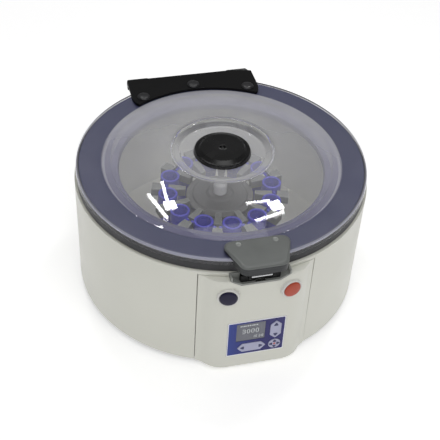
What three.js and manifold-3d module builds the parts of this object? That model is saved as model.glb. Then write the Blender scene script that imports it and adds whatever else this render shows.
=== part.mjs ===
// Bench-top swing-out laboratory centrifuge, in millimetres, +Z up.
// The origin is on the rotor axis, at the level of the bench. The front, with its keypad, faces -Y.
import * as THREE from 'three';
import { mergeVertices } from 'three/addons/utils/BufferGeometryUtils.js';
import Module from 'manifold-3d';

const wasm = await Module();
wasm.setup();

// ---- Driving dimensions -------------------------------------------------------------------------

const GAP = 0.3; // clearance between two pieces that touch
const ROUND = 40; // sides of the large turned pieces
const FEW = 24; // sides of the middle-sized turned pieces
const SMALL = 10; // sides of pins, trunnions and tube holders

// Housing
const FOOT_HEIGHT = 8;
const SHELL_TOP = 161;
const SHELL_TOP_RADIUS = 185;
const SHELL_FOOT_RADIUS = 182.6;
const WALL = 3;
const LEDGE = 2.5; // the shell's inward ledge, which carries the bowl and the deck
const LEDGE_RADIUS = 177;
const REACH = 203; // how far the latch and the hinge stand out in front and behind

// Control panel module in front
const PANEL_FRONT = 190;
const PANEL_TOP = 155;
const PANEL_SEAM = 70; // half the module's width where it meets the shell
const SEAM_RADIUS = 184;
const KEYPAD_HALF_WIDTH = 36;
const KEYPAD_LOW = 28.5;
const KEYPAD_HIGH = 86;
const BUTTON_Z = 131;
const BUTTON_TURN = THREE.MathUtils.degToRad(11.3); // each button points straight out from the rotor axis
const BUTTON_RADIUS = 10.5;
const RING_RADIUS = 12.6;

// Power module behind
const REAR_FACE = 199.5;
const REAR_TOP = 118;
const REAR_SEAM = 58;
const SOCKET_X = -18;
const SWITCH_X = 30;
const POWER_Z = 52;

// Chamber bowl and deck
const BOWL_RADIUS = 171;
const BOWL_WALL = 2.5;
const BOWL_FLOOR = 22.5;
const TOWER_RADIUS = 50;
const TOWER_TOP = 104;
const DECK_RADIUS = 181.5;
const DECK_TOP = 171.4;
const MOUTH_RADIUS = 128;

// Lid
const LID_RADIUS = 181.7;
const LID_BOTTOM = DECK_TOP + GAP;
const FLANGE_TOP = 180;
const LID_WALL = 3;
const FLANGE_UNDERSIDE = FLANGE_TOP - LID_WALL - 0.5;
const DOME_RADIUS = 151;
const DOME_RISE = 19.5;
const DOME_POWER = 2.3; // how square the shoulder of the dome is
const RECESS_RADIUS = 57;
const CREST_RADIUS = 61;
const RECESS_TOP = 190.5;
const CAP_RADIUS = 36;
const CAP_TOP = 198.6;
const STEM_RADIUS = 10;

// Hinge
const HINGE_Y = 197;
const HINGE_Z = 168;
const KNUCKLE_RADIUS = REACH - HINGE_Y;
const HINGE_PIN_RADIUS = 3;
const PLATE_BOTTOM = FLANGE_TOP + GAP;
const PLATE_TOP = 184.3;
const PLATE_BACK = 186.5;
const PLATE_HALF_WIDTH = 87;
const PLATE_FRONT_RADIUS = 151.6;
const SCREW_CIRCLE = 160.5;
const SCREW_ANGLE = THREE.MathUtils.degToRad(26.5);
const SCREW_RADIUS = 8.3;

// Latch
const LATCH_TOP = 187;
const SKIRT_BOTTOM = 172.5;
const LATCH_SCREW_X = 22;
const LATCH_SCREW_Y = -163;
const LATCH_BAR_Y = -190;
const LATCH_BAR_Z = 160;
const LATCH_BAR_RADIUS = 1.8;
const POCKET_BOTTOM = 147;
const POCKET_BACK = -179;
const CATCH_Y = -184;
const CATCH_Z = 143;

// Drive and rotor
const SHAFT_RADIUS = 6;
const HOLDER_COUNT = 12;
const HOLDER_CIRCLE = 68;
const PIVOT_Z = 126;
const HOLDER_ABOVE = 7;
const HOLDER_BELOW = 98;
const HOLDER_RADIUS = 11.2;
const COLLAR_RADIUS = 12.5;
const BORE_RADIUS = 9.2;
const TRUNNION_RADIUS = 2;
const TRUNNION_REACH = 16.3;
const ARM_HALF_WIDTH = 3;
const ARM_LENGTH = 88;
const ROTOR_TURN = THREE.MathUtils.degToRad(-91.5); // where the first tube holder stands

// ---- Geometry helpers ---------------------------------------------------------------------------

function solidOf(geometry) {
  const bare = geometry.clone();
  bare.deleteAttribute('normal');
  bare.deleteAttribute('uv');
  const merged = mergeVertices(bare, 1e-4);
  return new wasm.Manifold(
    new wasm.Mesh({
      numProp: 3,
      vertProperties: new Float32Array(merged.attributes.position.array),
      triVerts: new Uint32Array(merged.index.array),
    }),
  );
}

function geometryOf(solid) {
  const mesh = solid.getMesh();
  const geometry = new THREE.BufferGeometry();
  geometry.setAttribute('position', new THREE.BufferAttribute(new Float32Array(mesh.vertProperties), 3));
  geometry.setIndex(new THREE.BufferAttribute(new Uint32Array(mesh.triVerts), 1));
  geometry.computeVertexNormals();
  return geometry;
}

function cut(geometry, ...tools) {
  let solid = solidOf(geometry);
  for (const tool of tools) solid = solid.subtract(solidOf(tool));
  return geometryOf(solid);
}

function join(geometry, ...others) {
  let solid = solidOf(geometry);
  for (const other of others) solid = solid.add(solidOf(other));
  return geometryOf(solid);
}

// A box between two corners.
function block(low, high) {
  const size = [0, 1, 2].map((i) => high[i] - low[i]);
  const middle = [0, 1, 2].map((i) => (high[i] + low[i]) / 2);
  return new THREE.BoxGeometry(...size).translate(...middle);
}

// A profile of [radius, height] pairs, turned about Z. It runs anticlockwise round the material.
function turned(profile, sides = ROUND) {
  const points = profile.map(([radius, height]) => new THREE.Vector2(radius, height));
  return new THREE.LatheGeometry(points, sides).rotateX(Math.PI / 2);
}

// A ring-shaped profile closes on its first point.
function ring(profile, sides = ROUND) {
  return turned([...profile, profile[0]], sides);
}

function tube(inner, outer, low, high, sides = ROUND) {
  return ring([[inner, low], [outer, low], [outer, high], [inner, high]], sides);
}

function disc(radius, low, high, sides = ROUND) {
  return turned([[0, low], [radius, low], [radius, high], [0, high]], sides);
}

// A plan outline raised from one height to another.
function raised(shape, low, high) {
  const settings = { depth: high - low, bevelEnabled: false, curveSegments: 6 };
  return new THREE.ExtrudeGeometry(shape, settings).translate(0, 0, low);
}

// An outline drawn in Y and Z, running along X from one place to another.
function along(shape, from, to) {
  const settings = { depth: to - from, bevelEnabled: false, curveSegments: 8 };
  const geometry = new THREE.ExtrudeGeometry(shape, settings);
  return geometry.rotateZ(Math.PI / 2).rotateY(Math.PI / 2).translate(from, 0, 0);
}

// An outline drawn in X and Z as seen from the front, running along Y.
function throughY(shape, front, back) {
  const settings = { depth: back - front, bevelEnabled: false, curveSegments: 6 };
  return new THREE.ExtrudeGeometry(shape, settings).rotateX(Math.PI / 2).translate(0, back, 0);
}

function rodAlongX(radius, from, to, y, z, sides = SMALL) {
  const rod = new THREE.CylinderGeometry(radius, radius, to - from, sides).rotateZ(Math.PI / 2);
  return rod.translate((from + to) / 2, y, z);
}

function rodAlongY(radius, from, to, sides = FEW) {
  return new THREE.CylinderGeometry(radius, radius, to - from, sides).translate(0, (from + to) / 2, 0);
}

function polygon(points) {
  return new THREE.Shape(points.map(([x, y]) => new THREE.Vector2(x, y)));
}

function roundedRectangle(left, right, low, high, corner) {
  const shape = new THREE.Shape();
  shape.moveTo(left + corner, low);
  shape.lineTo(right - corner, low);
  shape.absarc(right - corner, low + corner, corner, -Math.PI / 2, 0);
  shape.lineTo(right, high - corner);
  shape.absarc(right - corner, high - corner, corner, 0, Math.PI / 2);
  shape.lineTo(left + corner, high);
  shape.absarc(left + corner, high - corner, corner, Math.PI / 2, Math.PI);
  shape.lineTo(left, low + corner);
  shape.absarc(left + corner, low + corner, corner, Math.PI, Math.PI * 1.5);
  return shape;
}

// ---- Finishes -----------------------------------------------------------------------------------

function finish(color, roughness, metalness = 0, opacity = 1) {
  return new THREE.MeshStandardMaterial({
    color,
    roughness,
    metalness,
    opacity,
    transparent: opacity < 1,
  });
}

const finishes = {
  shell: () => finish(0xd0d2cd, 0.35),
  bowl: () => finish(0xa8aaa2, 0.4, 0.6),
  deck: () => finish(0x34343c, 0.6),
  clear: () => finish(0xd8dae4, 0.08, 0, 0.3),
  glossBlack: () => finish(0x141414, 0.15),
  black: () => finish(0x1b1b1c, 0.5),
  latch: () => finish(0x696c6c, 0.45),
  steel: () => finish(0xb9bcbe, 0.3, 1),
  aluminium: () => finish(0x8d8f90, 0.4, 1),
  holder: () => finish(0x464491, 0.35),
  keypad: () => finish(0x373c8c, 0.4),
  key: () => finish(0xcdcde1, 0.5),
  display: () => finish(0x7b7e80, 0.2),
  startButton: () => finish(0x2d264b, 0.3),
  stopButton: () => finish(0xc85041, 0.35),
  rubber: () => finish(0x202020, 0.9),
  board: () => finish(0x2c6b3c, 0.6),
  motor: () => finish(0x5b5e62, 0.5, 0.8),
};

// ---- Housing ------------------------------------------------------------------------------------

// Plan outline of the module in front: a flat face whose sides sweep back to the round shell.
// inset moves every face inwards by that much.
function moduleOutline(face, halfFlat, seam, inset, backRadius) {
  const seamY = Math.sqrt((SEAM_RADIUS - inset) ** 2 - (seam - inset) ** 2);
  const shoulder = seam - 9;
  const shoulderY = seamY + 6;
  const shape = new THREE.Shape();
  shape.moveTo(-halfFlat, -(face - inset));
  shape.lineTo(halfFlat, -(face - inset));
  shape.quadraticCurveTo(shoulder - 9 - inset, -(face - inset - 1), shoulder - inset, -shoulderY);
  shape.lineTo(seam - inset, -seamY);
  const end = Math.asin((seam - inset) / (SEAM_RADIUS - inset));
  const steps = 10;
  for (let i = 0; i <= steps; i += 1) {
    const angle = end - (2 * end * i) / steps;
    shape.lineTo(backRadius * Math.sin(angle), -backRadius * Math.cos(angle));
  }
  shape.lineTo(-(seam - inset), -seamY);
  shape.lineTo(-(shoulder - inset), -shoulderY);
  shape.quadraticCurveTo(-(shoulder - 9 - inset), -(face - inset - 1), -halfFlat, -(face - inset));
  return shape;
}

// The wedge of space, seen from the axis, that a module takes out of the round shell.
function sector(halfWidth, low, high) {
  const halfAngle = Math.asin((halfWidth + GAP) / SEAM_RADIUS);
  const far = SHELL_TOP_RADIUS * 1.3;
  const near = LEDGE_RADIUS * 0.9;
  const x = Math.tan(halfAngle);
  const wedge = polygon([
    [-x * far, -far],
    [x * far, -far],
    [x * near, -near],
    [-x * near, -near],
  ]);
  return raised(wedge, low, high);
}

// Outline of the tray below the latch, seen from the front.
function pocketOutline(inset) {
  const wide = 36 - inset;
  const narrow = 23 - inset / 2;
  const low = POCKET_BOTTOM + inset;
  const high = SHELL_TOP + 1;
  return polygon([
    [-narrow, low],
    [narrow, low],
    [wide, PANEL_TOP],
    [wide, high],
    [-wide, high],
    [-wide, PANEL_TOP],
  ]);
}

function outerShell() {
  const innerTop = SHELL_TOP_RADIUS - WALL - 0.5;
  const wall = ring([
    [SHELL_FOOT_RADIUS, FOOT_HEIGHT],
    [SHELL_TOP_RADIUS, SHELL_TOP - 1],
    [SHELL_TOP_RADIUS - 1, SHELL_TOP],
    [LEDGE_RADIUS, SHELL_TOP],
    [LEDGE_RADIUS, SHELL_TOP - LEDGE],
    [innerTop, SHELL_TOP - LEDGE],
    [SHELL_FOOT_RADIUS - WALL, FOOT_HEIGHT],
  ]);
  const front = sector(PANEL_SEAM, 0, PANEL_TOP + GAP);
  const rear = sector(REAR_SEAM, 0, REAR_TOP + GAP).rotateZ(Math.PI);
  const pocket = throughY(pocketOutline(-GAP), -REACH, POCKET_BACK);
  return cut(wall, front, rear, pocket);
}

function frontPanel() {
  const halfFlat = KEYPAD_HALF_WIDTH + 0.5;
  const outer = raised(
    moduleOutline(PANEL_FRONT, halfFlat, PANEL_SEAM, 0, LEDGE_RADIUS + 2),
    FOOT_HEIGHT,
    PANEL_TOP,
  );
  const hollow = raised(
    moduleOutline(PANEL_FRONT, halfFlat, PANEL_SEAM, WALL, LEDGE_RADIUS - 8),
    FOOT_HEIGHT + WALL,
    PANEL_TOP - WALL,
  );
  const window = block([-32, -REACH, KEYPAD_LOW + 2.5], [32, -LEDGE_RADIUS, KEYPAD_HIGH - 2]);
  const seat = block(
    [-KEYPAD_HALF_WIDTH - GAP, -REACH, KEYPAD_LOW - GAP],
    [KEYPAD_HALF_WIDTH + GAP, -PANEL_FRONT + 1, KEYPAD_HIGH + GAP],
  );
  const pocket = throughY(pocketOutline(-GAP), -REACH, POCKET_BACK);
  const hole = rodAlongY(RING_RADIUS + GAP, -REACH, -LEDGE_RADIUS).translate(0, 0, BUTTON_Z);
  const holes = [-1, 1].map((side) => hole.clone().rotateZ(side * BUTTON_TURN));
  return cut(outer, hollow, window, seat, pocket, ...holes);
}

function rearPanel() {
  const outline = (inset, back) => moduleOutline(REAR_FACE, 44, REAR_SEAM, inset, back);
  const outer = raised(outline(0, LEDGE_RADIUS + 2), FOOT_HEIGHT, REAR_TOP).rotateZ(Math.PI);
  const hollow = raised(
    outline(WALL, LEDGE_RADIUS - 8),
    FOOT_HEIGHT + WALL,
    REAR_TOP - WALL,
  ).rotateZ(Math.PI);
  const socket = block([SOCKET_X - 15, 190, POWER_Z - 11.5], [SOCKET_X + 15, REACH, POWER_Z + 11.5]);
  const rocker = block([SWITCH_X - 7.5, 190, POWER_Z - 13], [SWITCH_X + 7.5, REACH, POWER_Z + 13]);
  const vents = [84, 91, 98, 105].map((z) => block([-34, 190, z], [34, REACH, z + 3]));
  return cut(outer, hollow, socket, rocker, ...vents);
}

// Closes the housing from below, with slots for the motor's cooling air.
function basePlate() {
  const plate = disc(LEDGE_RADIUS + 1, FOOT_HEIGHT + GAP, FOOT_HEIGHT + GAP + 2.5);
  const slots = [];
  for (let i = 0; i < 8; i += 1) {
    slots.push(block([58, -2.5, 0], [92, 2.5, FOOT_HEIGHT * 2]).rotateZ((i * Math.PI) / 4));
  }
  return cut(plate, ...slots);
}

// Deep bowl round the rotor, with a tower in its middle that covers the motor.
function chamberBowl() {
  const under = BOWL_FLOOR - BOWL_WALL;
  const outside = BOWL_RADIUS + BOWL_WALL;
  const flangeTop = SHELL_TOP - LEDGE - GAP;
  const corner = 12;
  return ring([
    [TOWER_RADIUS - BOWL_WALL, under],
    [outside - corner, under],
    [outside, under + corner],
    [outside, flangeTop - BOWL_WALL],
    [LEDGE_RADIUS + 1.5, flangeTop - BOWL_WALL],
    [LEDGE_RADIUS + 1.5, flangeTop],
    [BOWL_RADIUS, flangeTop],
    [BOWL_RADIUS, under + corner + 1],
    [BOWL_RADIUS - corner + 1, BOWL_FLOOR],
    [TOWER_RADIUS, BOWL_FLOOR],
    [TOWER_RADIUS, TOWER_TOP],
    [SHAFT_RADIUS + 3, TOWER_TOP],
    [SHAFT_RADIUS + 3, TOWER_TOP - BOWL_WALL],
    [TOWER_RADIUS - BOWL_WALL, TOWER_TOP - BOWL_WALL],
  ]);
}

// Dark ring on top of the housing, round the chamber's mouth.
function deckRing() {
  const low = SHELL_TOP + GAP;
  return ring([
    [170, low],
    [DECK_RADIUS, low],
    [DECK_RADIUS, DECK_TOP],
    [MOUTH_RADIUS, DECK_TOP],
    [MOUTH_RADIUS, DECK_TOP - 8],
    [MOUTH_RADIUS + 3, DECK_TOP - 8],
    [MOUTH_RADIUS + 3, DECK_TOP - 4],
    [170, DECK_TOP - 4],
  ]);
}

// Round seal that the lid comes down on.
function lidSeal() {
  return tube(151.5, 157.5, DECK_TOP + GAP, FLANGE_UNDERSIDE - GAP);
}

function foot() {
  return turned([[0, 0], [11, 0], [13, 2], [14, FOOT_HEIGHT], [0, FOOT_HEIGHT]], FEW);
}

// ---- Lid ----------------------------------------------------------------------------------------

function domeHeight(radius) {
  return FLANGE_TOP + DOME_RISE * (1 - (radius / DOME_RADIUS) ** DOME_POWER);
}

// Clear moulded lid: a flat flange with a deep edge, a shallow dome and a recess in its middle.
function lidDome() {
  const shoulders = [137, 116, 90];
  const crest = domeHeight(CREST_RADIUS);
  return ring([
    [STEM_RADIUS + 1, RECESS_TOP - LID_WALL],
    [RECESS_RADIUS - 5, RECESS_TOP - LID_WALL],
    [CREST_RADIUS + 1, crest - LID_WALL],
    ...shoulders.toReversed().map((r) => [r - 1, domeHeight(r) - LID_WALL]),
    [DOME_RADIUS - 2, FLANGE_UNDERSIDE],
    [LID_RADIUS - 4, FLANGE_UNDERSIDE],
    [LID_RADIUS - 4, LID_BOTTOM],
    [LID_RADIUS, LID_BOTTOM],
    [LID_RADIUS, FLANGE_TOP - 1],
    [LID_RADIUS - 1, FLANGE_TOP],
    [DOME_RADIUS, FLANGE_TOP],
    ...shoulders.map((r) => [r, domeHeight(r)]),
    [CREST_RADIUS, crest],
    [RECESS_RADIUS, RECESS_TOP + 1.5],
    [RECESS_RADIUS - 3, RECESS_TOP],
    [STEM_RADIUS + 1, RECESS_TOP],
  ]);
}

function portCap() {
  const low = RECESS_TOP + GAP;
  return turned([
    [0, low - 9],
    [STEM_RADIUS, low - 9],
    [STEM_RADIUS, low],
    [CAP_RADIUS - 1, low],
    [CAP_RADIUS, low + 1.5],
    [CAP_RADIUS, CAP_TOP - 3],
    [CAP_RADIUS - 1.5, CAP_TOP - 1],
    [CAP_RADIUS - 5, CAP_TOP],
    [0, CAP_TOP],
  ], FEW);
}

// Ring that holds the cap's stem from below.
function portNut() {
  return tube(STEM_RADIUS + GAP, 19, RECESS_TOP - 7.5, RECESS_TOP - LID_WALL - GAP, FEW);
}

// Black plate on the rear of the lid. Its front edge follows the foot of the dome.
function hingePlate() {
  const end = Math.acos(80 / PLATE_FRONT_RADIUS);
  const shape = new THREE.Shape();
  shape.moveTo(PLATE_HALF_WIDTH, 160);
  shape.lineTo(PLATE_HALF_WIDTH, 181);
  shape.lineTo(58, PLATE_BACK);
  shape.lineTo(-PLATE_HALF_WIDTH + 2, PLATE_BACK);
  shape.lineTo(-PLATE_HALF_WIDTH, PLATE_BACK - 2);
  shape.lineTo(-PLATE_HALF_WIDTH, 146);
  shape.quadraticCurveTo(-86, 132, -80, Math.sin(end) * PLATE_FRONT_RADIUS);
  const steps = 14;
  for (let i = 1; i <= steps; i += 1) {
    const angle = Math.PI - end - ((Math.PI - 2 * end) * i) / steps;
    shape.lineTo(Math.cos(angle) * PLATE_FRONT_RADIUS, Math.sin(angle) * PLATE_FRONT_RADIUS);
  }
  shape.quadraticCurveTo(86, 132, PLATE_HALF_WIDTH, 146);
  const plate = raised(shape, PLATE_BOTTOM, PLATE_TOP);
  return join(plate, hingeArm(-84, -56), hingeArm(56, 84));
}

// An arm that drops from the plate's rear edge to the hinge axis.
function hingeArm(from, to) {
  const shape = new THREE.Shape();
  shape.moveTo(178, PLATE_BOTTOM);
  shape.lineTo(184, PLATE_BOTTOM);
  shape.lineTo(HINGE_Y - KNUCKLE_RADIUS, HINGE_Z);
  shape.absarc(HINGE_Y, HINGE_Z, KNUCKLE_RADIUS, Math.PI, Math.PI * 2.1);
  shape.lineTo(HINGE_Y + 1, HINGE_Z + 9);
  shape.lineTo(PLATE_BACK - 6, PLATE_TOP);
  shape.lineTo(178, PLATE_TOP);
  const bore = rodAlongX(HINGE_PIN_RADIUS + GAP, from - 1, to + 1, HINGE_Y, HINGE_Z);
  return cut(along(shape, from, to), bore);
}

// A bracket on the rear of the shell, with the hinge's fixed knuckle.
function hingeBracket(from, to) {
  const shape = new THREE.Shape();
  shape.moveTo(170, 124);
  shape.lineTo(188, 124);
  shape.lineTo(REACH - 2, 156);
  shape.lineTo(REACH, HINGE_Z);
  shape.absarc(HINGE_Y, HINGE_Z, KNUCKLE_RADIUS, 0, Math.PI);
  shape.lineTo(HINGE_Y - KNUCKLE_RADIUS, 158);
  shape.lineTo(170, 152);
  const bore = rodAlongX(HINGE_PIN_RADIUS + GAP, from - 1, to + 1, HINGE_Y, HINGE_Z);
  const drum = disc(SHELL_TOP_RADIUS + GAP, 100, SHELL_TOP);
  return cut(along(shape, from, to), bore, drum);
}

function hingeScrew() {
  return turned([
    [0, 0],
    [SCREW_RADIUS, 0],
    [SCREW_RADIUS - 0.6, 1.4],
    [SCREW_RADIUS * 0.6, 2.9],
    [0, 3.4],
  ], FEW);
}

// ---- Latch --------------------------------------------------------------------------------------

function latchOutline(inset) {
  const back = -155 - inset;
  const front = -REACH + inset;
  const shape = new THREE.Shape();
  shape.moveTo(-28 + inset, back);
  shape.quadraticCurveTo(-39 + inset, back, -39 + inset, back - 11);
  shape.lineTo(-29 + inset, front + 8);
  shape.quadraticCurveTo(-27 + inset, front, -18 + inset, front);
  shape.lineTo(18 - inset, front);
  shape.quadraticCurveTo(27 - inset, front, 29 - inset, front + 8);
  shape.lineTo(39 - inset, back - 11);
  shape.quadraticCurveTo(39 - inset, back, 28 - inset, back);
  return shape;
}

// Moulded handle on the lid's front edge. Its skirt hangs in front of the edge and hides the shackle.
function latchHandle() {
  const top = raised(latchOutline(1.5), PLATE_TOP, LATCH_TOP);
  const rim = raised(latchOutline(0), FLANGE_TOP + GAP, PLATE_TOP);
  const skirt = cut(
    raised(latchOutline(0), SKIRT_BOTTOM, PLATE_TOP - 1),
    block([-60, -LID_RADIUS - GAP * 2, 150], [60, 0, 200]),
  );
  const room = block([-17, -198, 150], [17, -183, 183.3]);
  const screwHoles = [-1, 1].map((side) =>
    disc(3.3, LATCH_TOP - 2.3, 200, SMALL).translate(side * LATCH_SCREW_X, LATCH_SCREW_Y, 0),
  );
  return cut(join(top, rim, skirt), room, ...screwHoles);
}

// Shackle inside the handle: two arms that carry the latch bar down into the pocket.
function latchShackle() {
  const top = block([-16, -194, 174], [16, -187, 183]);
  const arms = [-1, 1].map((side) => {
    const inner = side * 12.5;
    const outer = side * 16;
    return block([Math.min(inner, outer), -192.6, 156.6], [Math.max(inner, outer), -187.4, 175]);
  });
  return cut(join(top, ...arms), rodAlongX(LATCH_BAR_RADIUS + GAP, -20, 20, LATCH_BAR_Y, LATCH_BAR_Z));
}

// Dark tray let into the panel's top edge, where the lock takes hold of the bar.
function latchPocket() {
  const tray = throughY(pocketOutline(0), -PANEL_FRONT + GAP, POCKET_BACK - GAP);
  const inside = throughY(pocketOutline(2), -REACH, POCKET_BACK - GAP - 2);
  const above = block([-60, -REACH, SHELL_TOP - 0.7], [60, 0, 200]);
  const slot = block([-6, -188.3, 140], [6, -181.6, 155]);
  return cut(tray, inside, above, slot);
}

// Hook of the lock, in its released place behind the bar.
function lockCatch() {
  const arm = block([-5, -0.2, -4], [5, 1.8, 22.8]);
  const lip = block([-5, -3, 20.3], [5, 1.8, 22.8]);
  return join(arm, lip);
}

// Solenoid of the lock, with an ear on each side of the hook.
function lockSolenoid() {
  const body = block([-13, -186.4, 116], [13, -176, 137]);
  const ears = [-7.6, 7.6].map((x) => block([x - 1.6, -186.4, 137], [x + 1.6, -181, 146.3]));
  return join(body, ...ears);
}

// ---- Keypad -------------------------------------------------------------------------------------

const keyOutlines = {
  up_down: (grow) => hexagon(24, 65, 7.3 + grow, 15.2 + grow, true),
  left_right: (grow) => hexagon(-5, 40.5, 18.3 + grow, 7.3 + grow, false),
  run: (grow) => new THREE.Shape().absarc(24, 40, 7.6 + grow, 0, Math.PI * 2),
};

// A long key with a point at both ends.
function hexagon(x, z, halfWidth, halfHeight, upright) {
  if (upright) {
    const side = halfHeight * 0.58;
    return polygon([
      [x, z - halfHeight],
      [x + halfWidth, z - side],
      [x + halfWidth, z + side],
      [x, z + halfHeight],
      [x - halfWidth, z + side],
      [x - halfWidth, z - side],
    ]);
  }
  const side = halfWidth * 0.64;
  return polygon([
    [x - side, z - halfHeight],
    [x + side, z - halfHeight],
    [x + halfWidth, z],
    [x + side, z + halfHeight],
    [x - side, z + halfHeight],
    [x - halfWidth, z],
  ]);
}

const DISPLAY = { left: -25, right: 11, low: 52, high: 82 };

function keypadFrame() {
  const shape = roundedRectangle(-KEYPAD_HALF_WIDTH, KEYPAD_HALF_WIDTH, KEYPAD_LOW, KEYPAD_HIGH, 1);
  const plate = throughY(shape, -PANEL_FRONT - 0.4, -PANEL_FRONT + 0.7);
  const openings = Object.values(keyOutlines).map((outline) =>
    throughY(outline(GAP), -REACH, -PANEL_FRONT + 5),
  );
  const view = block([DISPLAY.left, -REACH, DISPLAY.low], [DISPLAY.right, -PANEL_FRONT + 5, DISPLAY.high]);
  return cut(plate, view, ...openings);
}

function displayBlock() {
  return block(
    [DISPLAY.left + GAP, -PANEL_FRONT, DISPLAY.low + GAP],
    [DISPLAY.right - GAP, -PANEL_FRONT + 5.5, DISPLAY.high - GAP],
  );
}

function controlBoard() {
  const board = block([-31, -184.2, 32], [31, -182.6, 112]);
  const chips = [
    block([-20, -182.7, 44], [-4, -180, 60]),
    block([2, -182.7, 70], [20, -179, 82]),
    block([-18, -182.7, 92], [14, -178.5, 102]),
  ];
  return join(board, ...chips);
}

// ---- Power side ---------------------------------------------------------------------------------

function powerInlet() {
  const flange = throughY(roundedRectangle(-25, 25, -15, 15, 3), REAR_FACE + GAP, REACH);
  const body = block([-14.5, 178, -11], [14.5, REAR_FACE + 1, 11]);
  const mouth = polygon([
    [-12, -8.5],
    [12, -8.5],
    [12, 4.5],
    [8, 8.5],
    [-8, 8.5],
    [-12, 4.5],
  ]);
  const socket = throughY(mouth, 186, 210);
  const holes = [-1, 1].map((side) => rodAlongY(1.8, 190, 210, SMALL).translate(side * 20, 0, 0));
  return cut(join(flange, body), socket, ...holes).translate(SOCKET_X, 0, POWER_Z);
}

// Rocker of the mains switch, drawn about its own pivot.
function powerSwitch() {
  const side = polygon([
    [-6, -9],
    [2, -12],
    [0, 0],
    [2, 12],
    [-6, 9],
  ]);
  return along(side, -6.5, 6.5);
}

function powerBoard() {
  const board = block([-55, 66, 11.3], [55, 128, 12.9]);
  const parts = [
    block([-46, 76, 12.8], [-14, 104, 19.4]),
    block([-6, 90, 12.8], [18, 120, 18]),
    block([26, 74, 12.8], [46, 92, 18.8]),
  ];
  return join(board, ...parts);
}

// ---- Drive and rotor ----------------------------------------------------------------------------

function motor() {
  return turned([
    [0, 16],
    [36, 16],
    [38, 18],
    [38, 88],
    [34, 92],
    [14, 92],
    [14, 98],
    [SHAFT_RADIUS + 0.5, 98],
    [SHAFT_RADIUS + 0.5, 30],
    [0, 30],
  ], FEW);
}

// Rubber ring between the motor and the base plate.
function motorMount() {
  return tube(19, 44, FOOT_HEIGHT + 2.5 + GAP * 2, 16 - GAP, FEW);
}

// Hub with an arm between each two tube holders. A notch across each arm takes two trunnions.
function rotorSpider() {
  const hub = tube(SHAFT_RADIUS + GAP, 15, TOWER_TOP + 4, PIVOT_Z, FEW);
  const plate = tube(SHAFT_RADIUS + GAP, 44, PIVOT_Z - 9, PIVOT_Z - 4, FEW);
  const armShape = polygon([
    [38, -ARM_HALF_WIDTH],
    [77, -ARM_HALF_WIDTH],
    [ARM_LENGTH, -8],
    [ARM_LENGTH, 8],
    [77, ARM_HALF_WIDTH],
    [38, ARM_HALF_WIDTH],
  ]);
  const step = (Math.PI * 2) / HOLDER_COUNT;
  const rest = HOLDER_CIRCLE * Math.cos(step / 2) + (TRUNNION_REACH - 1.1) * Math.sin(step / 2);
  const notch = block([rest - 3.2, -5, PIVOT_Z - 2.6], [rest + 3.2, 5, PIVOT_Z + 9]);
  const arms = [];
  const notches = [];
  for (let i = 0; i < HOLDER_COUNT; i += 1) {
    const turn = step * (i + 0.5);
    arms.push(raised(armShape, PIVOT_Z - 8, PIVOT_Z + 3).rotateZ(turn));
    notches.push(notch.clone().rotateZ(turn));
  }
  return cut(join(hub, plate, ...arms), ...notches);
}

function rotorNut() {
  const low = PIVOT_Z + GAP;
  const bore = SHAFT_RADIUS + GAP;
  return turned([
    [bore, low],
    [8.5, low],
    [8.5, low + 13],
    [6.5, low + 17.5],
    [3.5, low + 19.5],
    [0, low + 20],
    [0, low + 14],
    [bore, low + 14],
    [bore, low],
  ], FEW);
}

// Tube holder, drawn hanging about its own trunnion axis, which lies along Y.
function tubeHolder() {
  const sleeve = turned([
    [0, -HOLDER_BELOW],
    [HOLDER_RADIUS - 3, -HOLDER_BELOW + 1.5],
    [HOLDER_RADIUS, -HOLDER_BELOW + 8],
    [HOLDER_RADIUS, -HOLDER_ABOVE - 1],
    [COLLAR_RADIUS, -HOLDER_ABOVE],
    [COLLAR_RADIUS, HOLDER_ABOVE],
    [BORE_RADIUS, HOLDER_ABOVE],
    [BORE_RADIUS, -HOLDER_BELOW + 9],
    [0, -HOLDER_BELOW + 4],
  ], SMALL);
  const pins = [-1, 1].map((side) => {
    const from = Math.min(side * 11, side * TRUNNION_REACH);
    const to = Math.max(side * 11, side * TRUNNION_REACH);
    return rodAlongY(TRUNNION_RADIUS, from, to, 8);
  });
  return join(sleeve, ...pins);
}

// ---- Assembly -----------------------------------------------------------------------------------

function piece(parent, name, geometry, material) {
  const mesh = new THREE.Mesh(geometry, material);
  mesh.name = name;
  parent.add(mesh);
  return mesh;
}

const centrifuge = new THREE.Group();

const housing = new THREE.Group();
centrifuge.add(housing);
piece(housing, 'outer_shell', outerShell(), finishes.shell());
piece(housing, 'front_panel', frontPanel(), finishes.shell());
piece(housing, 'rear_panel', rearPanel(), finishes.shell());
piece(housing, 'base_plate', basePlate(), finishes.motor());
piece(housing, 'chamber_bowl', chamberBowl(), finishes.bowl());
piece(housing, 'deck_ring', deckRing(), finishes.deck());
piece(housing, 'lid_seal', lidSeal(), finishes.rubber());
piece(housing, 'hinge_bracket_left', hingeBracket(-55.5, -30), finishes.black());
piece(housing, 'hinge_bracket_right', hingeBracket(30, 55.5), finishes.black());
piece(housing, 'latch_pocket', latchPocket(), finishes.shell());
piece(housing, 'lock_solenoid', lockSolenoid(), finishes.steel());
const catchPiece = piece(housing, 'lock_catch', lockCatch(), finishes.steel());
catchPiece.position.set(0, CATCH_Y, CATCH_Z);
for (let i = 0; i < 4; i += 1) {
  const angle = Math.PI / 4 + (i * Math.PI) / 2;
  const stand = piece(housing, `foot_${i + 1}`, foot(), finishes.rubber());
  stand.position.set(150 * Math.cos(angle), 150 * Math.sin(angle), 0);
}

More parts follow.
